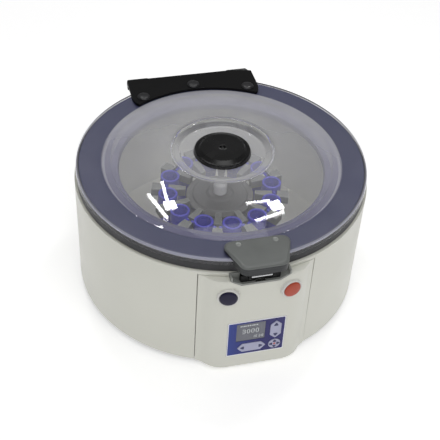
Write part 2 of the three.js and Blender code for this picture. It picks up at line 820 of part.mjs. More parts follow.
const controls = new THREE.Group();
housing.add(controls);
piece(controls, 'keypad_frame', keypadFrame(), finishes.keypad());
piece(controls, 'display', displayBlock(), finishes.display());
piece(controls, 'control_board', controlBoard(), finishes.board());
for (const [name, outline] of Object.entries(keyOutlines)) {
  const key = throughY(outline(0), -PANEL_FRONT - 1, -PANEL_FRONT + 3.5);
  piece(controls, `key_${name}`, key, finishes.key());
}
const buttons = [
  ['start_button', -1, finishes.startButton],
  ['stop_button', 1, finishes.stopButton],
];
for (const [name, side, colour] of buttons) {
  const place = new THREE.Group();
  place.position.z = BUTTON_Z;
  place.rotation.z = side * BUTTON_TURN;
  controls.add(place);
  const depth = PANEL_FRONT / Math.cos(BUTTON_TURN);
  const collar = cut(
    rodAlongY(RING_RADIUS, -depth - 1.5, -depth + 6),
    rodAlongY(BUTTON_RADIUS + GAP, -REACH, -LEDGE_RADIUS + 10),
  );
  piece(place, `${name}_ring`, collar, finishes.key());
  piece(place, name, rodAlongY(BUTTON_RADIUS, -depth - 4.5, -depth + 4), colour());
}

const power = new THREE.Group();
housing.add(power);
piece(power, 'power_inlet', powerInlet(), finishes.black());
piece(power, 'power_board', powerBoard(), finishes.board());
const rocker = piece(power, 'power_switch', powerSwitch(), finishes.black());
rocker.position.set(SWITCH_X, REAR_FACE - 1, POWER_Z);
rocker.rotation.x = THREE.MathUtils.degToRad(-7);

const drive = new THREE.Group();
centrifuge.add(drive);
piece(drive, 'motor', motor(), finishes.motor());
piece(drive, 'motor_mount', motorMount(), finishes.rubber());

const rotor = new THREE.Group();
rotor.rotation.z = ROTOR_TURN;
drive.add(rotor);
piece(rotor, 'motor_shaft', disc(SHAFT_RADIUS, 31, PIVOT_Z + 13.5, SMALL), finishes.steel());
piece(rotor, 'rotor_spider', rotorSpider(), finishes.aluminium());
piece(rotor, 'rotor_nut', rotorNut(), finishes.steel());
const holderGeometry = tubeHolder();
for (let i = 0; i < HOLDER_COUNT; i += 1) {
  const arm = new THREE.Group();
  arm.rotation.z = (i * Math.PI * 2) / HOLDER_COUNT;
  rotor.add(arm);
  const label = String(i + 1).padStart(2, '0');
  const holder = piece(arm, `tube_holder_${label}`, holderGeometry, finishes.holder());
  holder.position.set(HOLDER_CIRCLE, 0, PIVOT_Z);
}

const lid = new THREE.Group();
centrifuge.add(lid);
piece(lid, 'lid_dome', lidDome(), finishes.clear());
piece(lid, 'port_cap', portCap(), finishes.glossBlack());
piece(lid, 'port_nut', portNut(), finishes.black());
piece(lid, 'hinge_plate', hingePlate(), finishes.black());
piece(lid, 'hinge_pin', rodAlongX(HINGE_PIN_RADIUS, -84, 84, HINGE_Y, HINGE_Z), finishes.steel());
const screwPlaces = { left: -SCREW_ANGLE, middle: 0, right: SCREW_ANGLE };
for (const [name, angle] of Object.entries(screwPlaces)) {
  const screw = piece(lid, `hinge_screw_${name}`, hingeScrew(), finishes.glossBlack());
  screw.position.set(SCREW_CIRCLE * Math.sin(angle), SCREW_CIRCLE * Math.cos(angle), PLATE_TOP + GAP);
}
piece(lid, 'latch_handle', latchHandle(), finishes.latch());
piece(lid, 'latch_shackle', latchShackle(), finishes.black());
const latchBar = rodAlongX(LATCH_BAR_RADIUS, -15.7, 15.7, LATCH_BAR_Y, LATCH_BAR_Z, 8);
piece(lid, 'latch_bar', latchBar, finishes.steel());
for (const [name, x] of Object.entries({ left: -LATCH_SCREW_X, right: LATCH_SCREW_X })) {
  const head = disc(3, LATCH_TOP - 2, LATCH_TOP - 0.4, SMALL);
  const screw = piece(lid, `latch_screw_${name}`, head, finishes.steel());
  screw.position.set(x, LATCH_SCREW_Y, 0);
}

export default centrifuge;
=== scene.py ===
"""Looks of a bench-top swing-out centrifuge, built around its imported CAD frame.

Lengths in the helpers and the pieces are millimetres, turned into Blender's metres where a mesh is
made. +Z is up, the origin is on the rotor axis at the level of the bench, and the front faces -Y."""
import math
import random

import bmesh
import bpy
from mathutils import Matrix, Vector


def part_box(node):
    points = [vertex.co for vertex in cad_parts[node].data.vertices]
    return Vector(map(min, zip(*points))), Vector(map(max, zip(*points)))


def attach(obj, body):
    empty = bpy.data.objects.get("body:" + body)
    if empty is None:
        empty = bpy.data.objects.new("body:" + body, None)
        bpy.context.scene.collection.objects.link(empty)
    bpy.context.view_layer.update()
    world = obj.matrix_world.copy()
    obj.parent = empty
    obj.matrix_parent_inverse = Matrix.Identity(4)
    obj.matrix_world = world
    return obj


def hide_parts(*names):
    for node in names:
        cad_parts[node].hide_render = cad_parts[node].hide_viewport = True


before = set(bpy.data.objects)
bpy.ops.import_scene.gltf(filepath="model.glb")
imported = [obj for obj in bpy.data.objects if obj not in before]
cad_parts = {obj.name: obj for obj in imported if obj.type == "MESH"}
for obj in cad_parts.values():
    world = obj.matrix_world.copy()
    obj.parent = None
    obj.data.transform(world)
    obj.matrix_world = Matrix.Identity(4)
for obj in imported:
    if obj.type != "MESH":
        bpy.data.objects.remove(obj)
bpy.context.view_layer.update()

chance = random.Random(7)
MM = 0.001


# ---- The frame's places, in millimetres ----

class Extent:
    """Where a CAD node lies at rest."""

    def __init__(self, node):
        low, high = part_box(node)
        self.left, self.front, self.low = (value / MM for value in low)
        self.right, self.back, self.high = (value / MM for value in high)
        self.radius = (self.right - self.left) / 2
        self.x = (self.left + self.right) / 2
        self.y = (self.front + self.back) / 2
        self.z = (self.low + self.high) / 2


SHELL = Extent("outer_shell")
PANEL = Extent("front_panel")
REAR = Extent("rear_panel")
BOWL = Extent("chamber_bowl")
DECK = Extent("deck_ring")
LID = Extent("lid_dome")
PLATE = Extent("hinge_plate")
PIN = Extent("hinge_pin")
LATCH = Extent("latch_handle")
POCKET = Extent("latch_pocket")
KEYPAD = Extent("keypad_frame")
DISPLAY = Extent("display")
INLET = Extent("power_inlet")
LATCH_THICK = 6.7
PLATE_LOW = LATCH.high - LATCH_THICK
AHEAD, BEHIND, ABOVE = -260.0, 210.0, 250.0  # where cutting tools end, clear of the housing
REAR_CUT = 190.0  # where those that go through the rear wall start
FLANGE = 180.0
DOME_RADIUS = 151.0
GAP = 0.3
SEAM_GAP = 0.6
BUTTON_HOLE = 12.8
WALL = 3.0
LEDGE_RADIUS = SHELL.radius - 8
SEAM_RADIUS = SHELL.radius - 1
PANEL_SEAM = 70.0
REAR_SEAM = 58.0


# ---- Outlines ----

def rounded(points, radii, steps=4, closed=True):
    """The polygon with an arc of radius 1 at each corner, about the middle of a fillet whose radius is
    given. radii is one radius or one for each corner."""
    count = len(points)
    radii = list(radii) if hasattr(radii, "__len__") else [radii] * count
    made = []
    for i, point in enumerate(points):
        at = Vector(point)
        if radii[i] <= 0 or (not closed and i in (0, count - 1)):
            made.append((at.x, at.y))
            continue
        before = Vector(points[i - 1]) - at
        after = Vector(points[(i + 1) % count]) - at
        half = before.angle(after) / 2
        if half > math.pi / 2 - 0.02:
            made.append((at.x, at.y))
            continue
        reach = min(radii[i] / math.tan(half), before.length * 0.49, after.length * 0.49)
        radius = reach * math.tan(half)
        middle = at + (before.normalized() + after.normalized()).normalized() * radius / math.sin(half)
        start = at + before.normalized() * reach - middle
        end = at + after.normalized() * reach - middle
        for k in range(steps + 1):
            turned = start.slerp(end, k / steps)
            made.append((middle.x + turned.x, middle.y + turned.y))
    return made


def arc(radius, start, end, steps, centre=(0.0, 0.0)):
    """Points on a circle, from one angle to another, in degrees."""
    return [polar(radius, start + (end - start) * k / steps, *centre) for k in range(steps + 1)]


def polar(radius, degrees, x=0.0, y=0.0):
    angle = math.radians(degrees)
    return (x + radius * math.cos(angle), y + radius * math.sin(angle))


def knurled(radius, depth, steps, period, deep):
    """Outline of a grooved ring. The first deep points of every period lie in a groove."""
    made = []
    for k in range(steps):
        reach = radius - (depth if k % period < deep else 0)
        angle = 2 * math.pi * k / steps
        made.append((reach * math.cos(angle), reach * math.sin(angle)))
    return made


def curve(start, control, end, steps=8):
    """Points on a quadratic curve, without its first one."""
    made = []
    for k in range(1, steps + 1):
        t = k / steps
        weights = ((1 - t) ** 2, 2 * t * (1 - t), t * t)
        made.append(tuple(sum(w * p[i] for w, p in zip(weights, (start, control, end))) for i in (0, 1)))
    return made


def box_outline(left, right, low, high, radius=0.0):
    return rounded([(left, low), (right, low), (right, high), (left, high)], radius)


def front_outline(extent, radius=0.0, grow=0.0):
    """A node's extent seen from the front."""
    return box_outline(extent.left - grow, extent.right + grow, extent.low - grow, extent.high + grow, radius)


def mirrored(points):
    """The outline's points followed by their mirror images in X, which close it."""
    return points + [(-x, y) for x, y in reversed(points)]


# ---- Solids ----

def turned(profile, steps=96, closed=False):
    """A profile of (radius, height) turned about Z."""
    bm = bmesh.new()
    rings = []
    for radius, height in profile:
        count = 1 if radius < 1e-6 else steps
        angles = [2 * math.pi * i / steps for i in range(count)]
        rings.append([
            bm.verts.new(Vector((radius * math.cos(a), radius * math.sin(a), height)) * MM)
            for a in angles
        ])
    for low, high in zip(rings, rings[1:] + rings[:1] if closed else rings[1:]):
        for i in range(steps):
            j = (i + 1) % steps
            corners = [low[i % len(low)], low[j % len(low)], high[j % len(high)], high[i % len(high)]]
            corners = list(dict.fromkeys(corners))
            if len(corners) > 2:
                bm.faces.new(corners)
    return bm


def ring(profile, steps=96):
    return turned(profile, steps, closed=True)


def lathe(corners, radii, steps, detail=4):
    """Turns a profile that starts and ends on the axis, with its corners rounded."""
    return turned(rounded(corners, radii, detail, closed=False), steps)


def rod(radius, low, high, steps=32, chamfer=0.4):
    """A round rod along Z with chamfered ends."""
    return turned([
        (0, low),
        (radius - chamfer, low),
        (radius, low + chamfer),
        (radius, high - chamfer),
        (radius - chamfer, high),
        (0, high),
    ], steps)


def prism(outline, low, high, across="z"):
    """An outline raised along one axis. Across z it lies in X and Y, across y in X and Z, and across
    x in Y and Z."""
    place = {
        "z": lambda u, v, w: (u, v, w),
        "y": lambda u, v, w: (u, w, v),
        "x": lambda u, v, w: (w, u, v),
    }[across]
    bm = bmesh.new()
    layers = [[bm.verts.new(Vector(place(u, v, w)) * MM) for u, v in outline] for w in (low, high)]
    for layer in layers:
        bm.faces.new(layer)
    for i in range(len(outline)):
        j = (i + 1) % len(outline)
        bm.faces.new([layers[0][i], layers[0][j], layers[1][j], layers[1][i]])
    return bm


def block(low, high):
    return prism(box_outline(low[0], high[0], low[1], high[1]), low[2], high[2])


def loft(layers):
    """Outlines with the same number of points, each at its own height, joined and closed."""
    bm = bmesh.new()
    rings = [[bm.verts.new(Vector((x, y, z)) * MM) for x, y in outline] for outline, z in layers]
    bm.faces.new(rings[0])
    bm.faces.new(rings[-1])
    for low, high in zip(rings, rings[1:]):
        for i in range(len(low)):
            j = (i + 1) % len(low)
            bm.faces.new([low[i], low[j], high[j], high[i]])
    return bm


def moved(bm, matrix):
    bmesh.ops.transform(bm, matrix=matrix, verts=bm.verts)
    return bm


def shifted(bm, x, y, z):
    return moved(bm, Matrix.Translation(Vector((x, y, z)) * MM))


def spun(bm, degrees, axis="Z"):
    return moved(bm, Matrix.Rotation(math.radians(degrees), 4, axis))


def facing(bm, x, y, z, direction):
    """Moves a solid made about Z so that its +Z points along direction at the given place."""
    turn = Vector((0, 0, 1)).rotation_difference(Vector(direction)).to_matrix().to_4x4()
    return moved(bm, Matrix.Translation(Vector((x, y, z)) * MM) @ turn)


# ---- Objects ----

def solid(name, bm):
    bmesh.ops.recalc_face_normals(bm, faces=bm.faces)
    mesh = bpy.data.meshes.new(name)
    bm.to_mesh(mesh)
    bm.free()
    obj = bpy.data.objects.new(name, mesh)
    bpy.context.scene.collection.objects.link(obj)
    return obj


def applied(obj):
    """Turns the object's modifiers into its mesh."""
    graph = bpy.context.evaluated_depsgraph_get()
    mesh = bpy.data.meshes.new_from_object(obj.evaluated_get(graph))
    obj.modifiers.clear()
    obj.data = mesh
    return obj


def redrawn(obj, change):
    """Passes a finished object's mesh through a function that moves a bmesh."""
    bm = bmesh.new()
    bm.from_mesh(obj.data)
    change(bm)
    bm.to_mesh(obj.data)
    bm.free()
    return obj


def combined(obj, operation, *tools):
    for tool in tools:
        helper = solid("tool", tool)
        change = obj.modifiers.new(operation, "BOOLEAN")
        change.operation = operation
        change.solver = "EXACT"
        change.object = helper
        applied(obj)
        bpy.data.objects.remove(helper)
    return obj


def cut(obj, *tools):
    return combined(obj, "DIFFERENCE", *tools)


def joined(obj, *others):
    return combined(obj, "UNION", *others)


def eased(obj, width, segments=3, angle=40):
    """Rounds the object's sharp edges."""
    bevel = obj.modifiers.new("edges", "BEVEL")
    bevel.width = width * MM
    bevel.segments = segments
    bevel.limit_method = "ANGLE"
    bevel.angle_limit = math.radians(angle)
    bevel.use_clamp_overlap = True
    return applied(obj)


def piece(obj, body, material, slot, *nodes, sharp=38):
    """Shades a finished mesh and ties it to its body, its finish and the CAD nodes it stands for."""
    mesh = obj.data
    if material is not None:
        mesh.materials.clear()
        mesh.materials.append(material)
    for polygon in mesh.polygons:
        polygon.use_smooth = True
    mesh.set_sharp_from_angle(angle=math.radians(sharp))
    normals = obj.modifiers.new("normals", "WEIGHTED_NORMAL")
    normals.keep_sharp = True
    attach(obj, body)
    if nodes:
        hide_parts(*nodes)
    return obj


# ---- Materials ----

def tone(red, green, blue):
    """A colour given as screen values from 0 to 255, for a shader."""
    def linear(value):
        share = value / 255
        return share / 12.92 if share <= 0.04045 else ((share + 0.055) / 1.055) ** 2.4
    return (linear(red), linear(green), linear(blue), 1.0)


def scaled(colour, factor):
    return tuple(min(1.0, part * factor) for part in colour[:3]) + (1.0,)


class Nodes:
    """A material's node tree, with short ways to add nodes to it."""

    def __init__(self, name):
        self.material = bpy.data.materials.new(name)
        self.material.use_nodes = True
        self.tree = self.material.node_tree
        self.shader = self.tree.nodes["Principled BSDF"]
        self.place = self.add("ShaderNodeTexCoord").outputs["Object"]

    def add(self, kind, **settings):
        node = self.tree.nodes.new(kind)
        for name, value in settings.items():
            setattr(node, name, value)
        return node

    def put(self, value, target):
        """Links an output to the target socket, or sets the socket to a plain value."""
        if isinstance(value, bpy.types.NodeSocket):
            self.tree.links.new(value, target)
        else:
            target.default_value = value

    def feed(self, node, **inputs):
        """Fills the node's inputs by their names, in which _ stands for a space."""
        for name, value in inputs.items():
            self.put(value, node.inputs[name.replace("_", " ")])
        return node

    def noise(self, size, detail=3.0, place=None):
        node = self.add("ShaderNodeTexNoise")
        self.feed(node, Vector=place or self.place, Scale=1 / (size * MM), Detail=detail)
        return node.outputs["Fac"]

    def stretched(self, x, y, z):
        node = self.add("ShaderNodeMapping")
        self.feed(node, Vector=self.place, Scale=(x, y, z))
        return node.outputs["Vector"]

    def around(self):
        """Place on a turned part as (radius, height), so that a noise in it makes rings."""
        split = self.feed(self.add("ShaderNodeSeparateXYZ"), Vector=self.place)
        flat = self.add("ShaderNodeCombineXYZ")
        self.feed(flat, X=split.outputs["X"], Y=split.outputs["Y"])
        radius = self.add("ShaderNodeVectorMath", operation="LENGTH")
        self.put(flat.outputs["Vector"], radius.inputs[0])
        made = self.add("ShaderNodeCombineXYZ")
        self.feed(made, X=radius.outputs["Value"], Y=split.outputs["Z"])
        return made.outputs["Vector"]

    def ranged(self, value, low, high, start=0.3, end=0.7):
        node = self.add("ShaderNodeMapRange")
        self.feed(node, Value=value, From_Min=start, From_Max=end, To_Min=low, To_Max=high)
        return node.outputs["Result"]

    def maths(self, operation, first, second):
        node = self.add("ShaderNodeMath", operation=operation)
        for socket, value in zip(node.inputs, (first, second)):
            self.put(value, socket)
        return node.outputs["Value"]

    def mixed(self, share, first, second):
        node = self.add("ShaderNodeMix", data_type="RGBA")
        for index, value in ((0, share), (6, first), (7, second)):
            self.put(value, node.inputs[index])
        return node.outputs[2]

    def edges(self, radius):
        """1 on edges and corners, 0 on flat stretches."""
        soft = self.feed(self.add("ShaderNodeBevel", samples=4), Radius=radius * MM)
        true = self.add("ShaderNodeNewGeometry")
        dot = self.add("ShaderNodeVectorMath", operation="DOT_PRODUCT")
        self.put(soft.outputs["Normal"], dot.inputs[0])
        self.put(true.outputs["Normal"], dot.inputs[1])
        return self.ranged(dot.outputs["Value"], 1.0, 0.0, start=0.86, end=0.99)

    def bump(self, height, strength, distance):
        node = self.add("ShaderNodeBump")
        self.feed(node, Height=height, Strength=strength, Distance=distance * MM)
        self.put(node.outputs["Normal"], self.shader.inputs["Normal"])


def surface(name, colour, roughness, metallic=0.0, coat=0.0, shade=0.06, shade_size=60,
            grain=0.25, grain_size=0.6, depth=0.05, smudge=0.06, painted_edge=None, painted_edge_width=0.8,
            spun_lines=False, brushed=None, shine=0.5):
    """A finish with a slight change of shade over the piece, a fine grain, smudges and, where it has a
    painted edge colour, lighter edges, a painted highlight along the bevels. Lines run round a turned part,
    or along a brushed one."""
    nodes = Nodes(name)
    colour = tone(*colour)
    share = nodes.noise(shade_size)
    paint = nodes.mixed(nodes.ranged(share, 0, 1), scaled(colour, 1 - shade), scaled(colour, 1 + shade))
    # Edges take the edge colour in patches: a painted highlight along the bevels, slightly darker only on the
    # rotor nut.
    if painted_edge is not None:
        amount = nodes.maths("MULTIPLY", nodes.edges(painted_edge_width), nodes.ranged(nodes.noise(7, 4), 0.15, 0.9))
        paint = nodes.mixed(amount, paint, tone(*painted_edge))
    place = None
    if spun_lines:
        place = nodes.around()
    elif brushed is not None:
        place = nodes.stretched(*brushed)
    height = nodes.noise(grain_size, 4, place)
    rough = nodes.ranged(nodes.noise(shade_size * 0.4, 5), roughness - smudge, roughness + smudge)
    if place is not None:
        line = nodes.ranged(height, -smudge, smudge)
        rough = nodes.maths("ADD", rough, line)
    nodes.feed(nodes.shader, Base_Color=paint, Roughness=rough, Metallic=metallic, Coat_Weight=coat,
               Specular_IOR_Level=shine)
    nodes.bump(height, grain, depth)
    return nodes.material


def clear_plastic():
    """Polished clear moulding: slightly milky over the crown, milkier where seen at a slant and in the recess
    as painted reflection and painted light, and lavender in its rim with a painted highlight on its lit edge.
    Lamps shine through.
    """
    nodes = Nodes("clear_moulding")
    place = nodes.around()
    radius = nodes.feed(nodes.add("ShaderNodeSeparateXYZ"), Vector=place).outputs["X"]
    waves = nodes.noise(45, 2)
    height = nodes.maths("ADD", nodes.maths("MULTIPLY", nodes.noise(9, 2, place), 0.3), waves)
    level = nodes.feed(nodes.add("ShaderNodeSeparateXYZ"), Vector=nodes.place).outputs["Z"]
    facing = nodes.feed(nodes.add("ShaderNodeLayerWeight"), Blend=0.5).outputs["Facing"]
    crown = nodes.ranged(radius, 1, 0, start=(DOME_RADIUS - 1) * MM, end=DOME_RADIUS * MM)
    # The rim's milky lavender is its lavender tint and a painted highlight of its lit edge.
    rim = nodes.maths(
        "MULTIPLY",
        nodes.ranged(radius, 0, 1, start=(LID.radius - 3) * MM, end=(LID.radius - 1) * MM),
        nodes.ranged(level, 0, 1, start=(FLANGE - 4.5) * MM, end=(FLANGE - 3) * MM),
    )
    # Milkier where the surface is seen at a slant: the moulding's haze and a painted reflection of the bright
    # room.
    milk_and_reflection = nodes.maths("MULTIPLY", nodes.ranged(facing, 0.02, 0.38, start=0.16, end=0.6),
                       nodes.ranged(nodes.noise(60, 3), 0.9, 1.1))
    # More milk in the middle recess: painted light that lightens it.
    recess = nodes.ranged(radius, 0.05, 0, start=60 * MM, end=62 * MM)
    milk_and_reflection = nodes.maths("ADD", milk_and_reflection, recess)
    haze_and_painted_light = nodes.maths("ADD", nodes.maths("MULTIPLY", crown, milk_and_reflection), nodes.maths("MULTIPLY", rim, 0.42))
    tint = nodes.mixed(nodes.ranged(waves, 0, 1), (0.92, 0.92, 0.95, 1), (0.95, 0.95, 0.97, 1))
    nodes.feed(
        nodes.shader,
        Base_Color=nodes.mixed(rim, tint, (0.7, 0.7, 0.84, 1)),
        Roughness=nodes.ranged(nodes.noise(30, 5), 0.0, 0.003),
        Transmission_Weight=nodes.maths("SUBTRACT", 1.0, haze_and_painted_light),
        IOR=1.49,
    )
    nodes.bump(height, 0.1, 0.08)
    path = nodes.add("ShaderNodeLightPath")
    passing = nodes.maths("MAXIMUM", path.outputs["Is Shadow Ray"], path.outputs["Is Diffuse Ray"])
    open_way = nodes.feed(nodes.add("ShaderNodeBsdfTransparent"), Color=(0.95, 0.95, 0.97, 1))
    mix = nodes.add("ShaderNodeMixShader")
    nodes.put(passing, mix.inputs[0])
    nodes.put(nodes.shader.outputs["BSDF"], mix.inputs[1])
    nodes.put(open_way.outputs["BSDF"], mix.inputs[2])
    nodes.put(mix.outputs["Shader"], nodes.tree.nodes["Material Output"].inputs["Surface"])
    return nodes.material


def overlay_film():
    """Printed polyester film of the keypad, paler towards its left."""
    nodes = Nodes("keypad_film")
    split = nodes.feed(nodes.add("ShaderNodeSeparateXYZ"), Vector=nodes.place)
    across = nodes.ranged(split.outputs["X"], 0, 1, start=KEYPAD.left * MM, end=0.0)
    print_tone = nodes.mixed(across, tone(38, 60, 142), tone(33, 29, 98))
    fleck = nodes.mixed(nodes.ranged(nodes.noise(0.5), 0, 0.08), print_tone, tone(100, 108, 190))
    nodes.feed(nodes.shader, Base_Color=fleck, Roughness=nodes.ranged(nodes.noise(12), 0.3, 0.45),
               Specular_IOR_Level=0.35)
    nodes.bump(nodes.noise(0.35, 4), 0.2, 0.03)
    return nodes.material


def circuit_board():
    """Green solder mask over paler tracks."""
    nodes = Nodes("circuit_board")
    tracks = nodes.add("ShaderNodeTexBrick", offset=0.37)
    nodes.feed(
        tracks,
        Vector=nodes.stretched(1, 1, 1),
        Scale=1 / (26 * MM),
        Mortar_Size=0.03,
        Color1=tone(26, 92, 48),
        Color2=tone(22, 82, 44),
        Mortar=tone(70, 140, 82),
    )
    nodes.feed(nodes.shader, Base_Color=tracks.outputs["Color"],
               Roughness=nodes.ranged(nodes.noise(8), 0.3, 0.45))
    nodes.bump(nodes.noise(0.8, 3), 0.3, 0.05)
    return nodes.material


# Each finish's edge colour below is a painted highlight along its bevels, a touch darker on the rotor nut.
SHELL_PAINT = surface("shell_paint", (219, 219, 209), 0.36, coat=0.04, shade=0.02, shade_size=120,
                      grain=0.12, grain_size=0.9, depth=0.06, painted_edge=(238, 239, 236), painted_edge_width=1.2)
DECK_PLASTIC = surface("deck_plastic", (36, 36, 40), 0.5, shade=0.1, grain_size=0.5,
                       painted_edge=(70, 70, 76))
CLEAR = clear_plastic()
BORDER = surface("lid_border", (66, 69, 98), 0.4, shade=0.06, shade_size=110, grain_size=0.5)
# The chamber lip's dark lavender is painted shade of the shadowed chamber mouth.
LIP_SHADE = surface("lip_painted_shade", (92, 91, 120), 0.45, shade=0.04, shade_size=90, grain=0.2,
                    grain_size=0.9)
SEAL_GREY = surface("seal_silicone", (150, 150, 146), 0.6, shade=0.08, grain=0.4, grain_size=0.7)
BOWL_METAL = surface("bowl_finish", (246, 246, 234), 0.7, shade=0.05, shade_size=90,
                     grain=0.2, grain_size=1.1, spun_lines=True)
GLOSS_BLACK = surface("gloss_black", (9, 9, 10), 0.27, coat=0.0, shade=0.1, grain=0.06,
                      grain_size=1.5, smudge=0.05)
CAP_GREY = surface("screw_cap", (30, 30, 33), 0.38, coat=0.1, shade=0.1, grain=0.1,
                   painted_edge=(80, 80, 84))
MATT_BLACK = surface("matt_black", (7, 7, 8), 0.55, shade=0.15, grain=0.4, grain_size=0.8,
                     depth=0.08, painted_edge=(40, 40, 42), shine=0.2)
LATCH_PLASTIC = surface("latch_plastic", (108, 111, 109), 0.36, shade=0.07, shade_size=30, grain=0.3,
                        grain_size=0.7, painted_edge=(140, 143, 141), painted_edge_width=1.4)
STEEL = surface("steel", (205, 206, 208), 0.28, metallic=1.0, shade=0.06, shade_size=20, grain=0.3,
                grain_size=0.4, depth=0.02, brushed=(0.05, 1, 1))
SCREW_STEEL = surface("screw_steel", (196, 198, 200), 0.25, metallic=1.0, shade_size=6, grain_size=0.3)
# The arms' mid grey is painted shade of the shadowed chamber; their near-white edge colour is a painted
# highlight.
ARM_SHADED_ALUMINIUM = surface("rotor_aluminium", (134, 136, 130), 0.4, metallic=0.1, shade=0.05, shade_size=25,
                    grain=0.25, grain_size=0.5, painted_edge=(238, 240, 234), painted_edge_width=1.5)
HUB_GREY = surface("rotor_hub", (104, 104, 100), 0.5, metallic=0.1, shade=0.06, grain=0.3,
                   grain_size=0.8, spun_lines=True, painted_edge=(160, 160, 158))
# The steel rotor nut is painted near white, a painted highlight.
NUT_HIGHLIGHT = surface("rotor_nut", (250, 250, 244), 0.3, metallic=0.0, shade=0.05, grain_size=0.6,
                    painted_edge=(240, 240, 236))
HOLDER_BLUE = surface("holder_blue", (80, 76, 202), 0.3, coat=0.25, shade=0.08, shade_size=20,
                      grain=0.15, grain_size=0.8, painted_edge=(96, 92, 206), painted_edge_width=0.6)
KEY_FILM = surface("key_film", (176, 177, 202), 0.42, shine=0.35, shade=0.03, shade_size=12, grain=0.2,
                   grain_size=0.4, depth=0.03)
BORDER_PRINT = surface("border_print", (246, 246, 255), 0.4, shade=0.02, grain_size=0.4)
COLLAR = surface("button_collar", (219, 218, 214), 0.36, shade=0.03, shade_size=10, grain_size=0.5)
# The pocket tray is the panel's white plastic, painted mid grey as the shade inside the pocket.
TRAY_SHADE = surface("tray_painted_shade", (150, 152, 148), 0.5, shade=0.08, grain_size=0.6)
# The handle's body and skirt are a darker copy of its grey: painted shade on the faces below the cover.
SKIRT_SHADE = surface("skirt_shaded_plastic", (46, 48, 50), 0.45, shade=0.07, grain=0.3, grain_size=0.7,
                     painted_edge=(104, 107, 106), shine=0.35)
PLUG_GREY = surface("handle_plug", (150, 153, 150), 0.35, metallic=0.3, shade_size=5, grain_size=0.4)
PRINT_DARK = surface("print_dark", (58, 60, 100), 0.5, shade_size=3, grain_size=0.3)
PRINT_RED = surface("print_red", (190, 84, 70), 0.45, shade_size=3, grain_size=0.3)
LCD_GREY = surface("display_glass", (102, 104, 114), 0.2, coat=0.2, shade=0.08, shade_size=16,
                   grain=0.05, grain_size=2.0, smudge=0.04)
LCD_MARK = surface("display_mark", (214, 218, 220), 0.4, shade_size=3, grain_size=0.3)
BUTTON_BLUE = surface("button_blue", (28, 24, 54), 0.36, shine=0.25, shade=0.08, shade_size=10,
                      grain=0.08, painted_edge=(90, 84, 130), painted_edge_width=0.7)
BUTTON_RED = surface("button_red", (180, 76, 56), 0.36, shine=0.3, shade=0.06, shade_size=10, grain=0.1,
                     painted_edge=(236, 140, 116), painted_edge_width=0.7)
RUBBER = surface("rubber", (30, 30, 31), 0.75, shade=0.15, grain=0.6, grain_size=0.9, depth=0.1)
BOARD = circuit_board()
COPPER = surface("coil_copper", (190, 110, 62), 0.3, metallic=1.0, grain=0.5, grain_size=0.6,
                 depth=0.1, spun_lines=True)
BRASS = surface("contact_metal", (205, 190, 150), 0.3, metallic=1.0, grain_size=0.4)
BASE_METAL = surface("base_metal", (112, 115, 118), 0.5, metallic=0.6, shade=0.08, grain=0.4,
                     grain_size=0.8, painted_edge=(170, 172, 174))


# ---- Housing ----

def module_outline(face, half_flat, seam, inset, back_radius):
    """Plan of a module let into the round shell: a flat face whose sides sweep back to the seams."""
    edge = seam - inset
    seam_y = math.sqrt((SEAM_RADIUS - inset) ** 2 - edge ** 2)
    shoulder = (seam - 9 - inset, -seam_y - 6)
    corner = (seam - 18 - inset, -(face - inset - 1))
    end = math.degrees(math.asin(edge / (SEAM_RADIUS - inset)))
    right = [(half_flat, inset - face)]
    right += curve(right[0], corner, shoulder, 12)
    right += curve(shoulder, (seam - 5 - inset, -seam_y - 2.2), (edge, -seam_y), 5)
    right += arc(back_radius, end - 90, -90, 14)
    return mirrored(right[:-1] + [(0.01, -back_radius)])


def module(extent, face, half_flat, seam, inset=0):
    """The solid of a module that faces the front or, with an inset, the hollow in it."""
    back_radius = LEDGE_RADIUS - 8 if inset else LEDGE_RADIUS + 2
    outline = module_outline(face, half_flat, seam, inset, back_radius)
    return prism(outline, extent.low + inset, extent.high - inset)


def wedge(half_width, low, high, rear=False):
    """The room that a module takes out of the shell, seen from the axis."""
    slope = math.tan(math.asin((half_width + SEAM_GAP) / SEAM_RADIUS))
    far, near = SHELL.radius * 1.3, LEDGE_RADIUS * 0.9
    made = prism([(-slope * far, -far), (slope * far, -far), (slope * near, -near), (-slope * near, -near)],
                 low, high)
    return spun(made, 180) if rear else made


def pocket_outline(grow, narrower=0.5):
    wide, narrow, low = POCKET.right + grow, 23 + grow * narrower, POCKET.low - grow
    return mirrored([(narrow, low), (wide, PANEL.high), (wide, SHELL.high + 1)])


def pocket_room():
    return prism(pocket_outline(GAP), SHELL.front * 1.2, POCKET.back + GAP, "y")


def outer_shell():
    inner = SHELL.radius - WALL - 0.5
    foot = SHELL.radius - 2.4
    corners = [
        (foot, SHELL.low),
        (SHELL.radius, SHELL.high - 1.2),
        (SHELL.radius - 1.6, SHELL.high),
        (LEDGE_RADIUS, SHELL.high),
        (LEDGE_RADIUS, SHELL.high - 2.5),
        (inner, SHELL.high - 2.5),
        (foot - WALL, SHELL.low),
    ]
    shell = solid("drum", ring(rounded(corners, [1.0, 3.0, 3.0, 0.5, 0.3, 1.0, 1.0], 5), 180))
    cut(
        shell,
        wedge(PANEL_SEAM, -10, PANEL.high + SEAM_GAP),
        wedge(REAR_SEAM, -10, REAR.high + SEAM_GAP, rear=True),
        pocket_room(),
    )
    eased(shell, 0.4, 2, 55)
    piece(shell, "housing", SHELL_PAINT, "shell_white", "outer_shell")


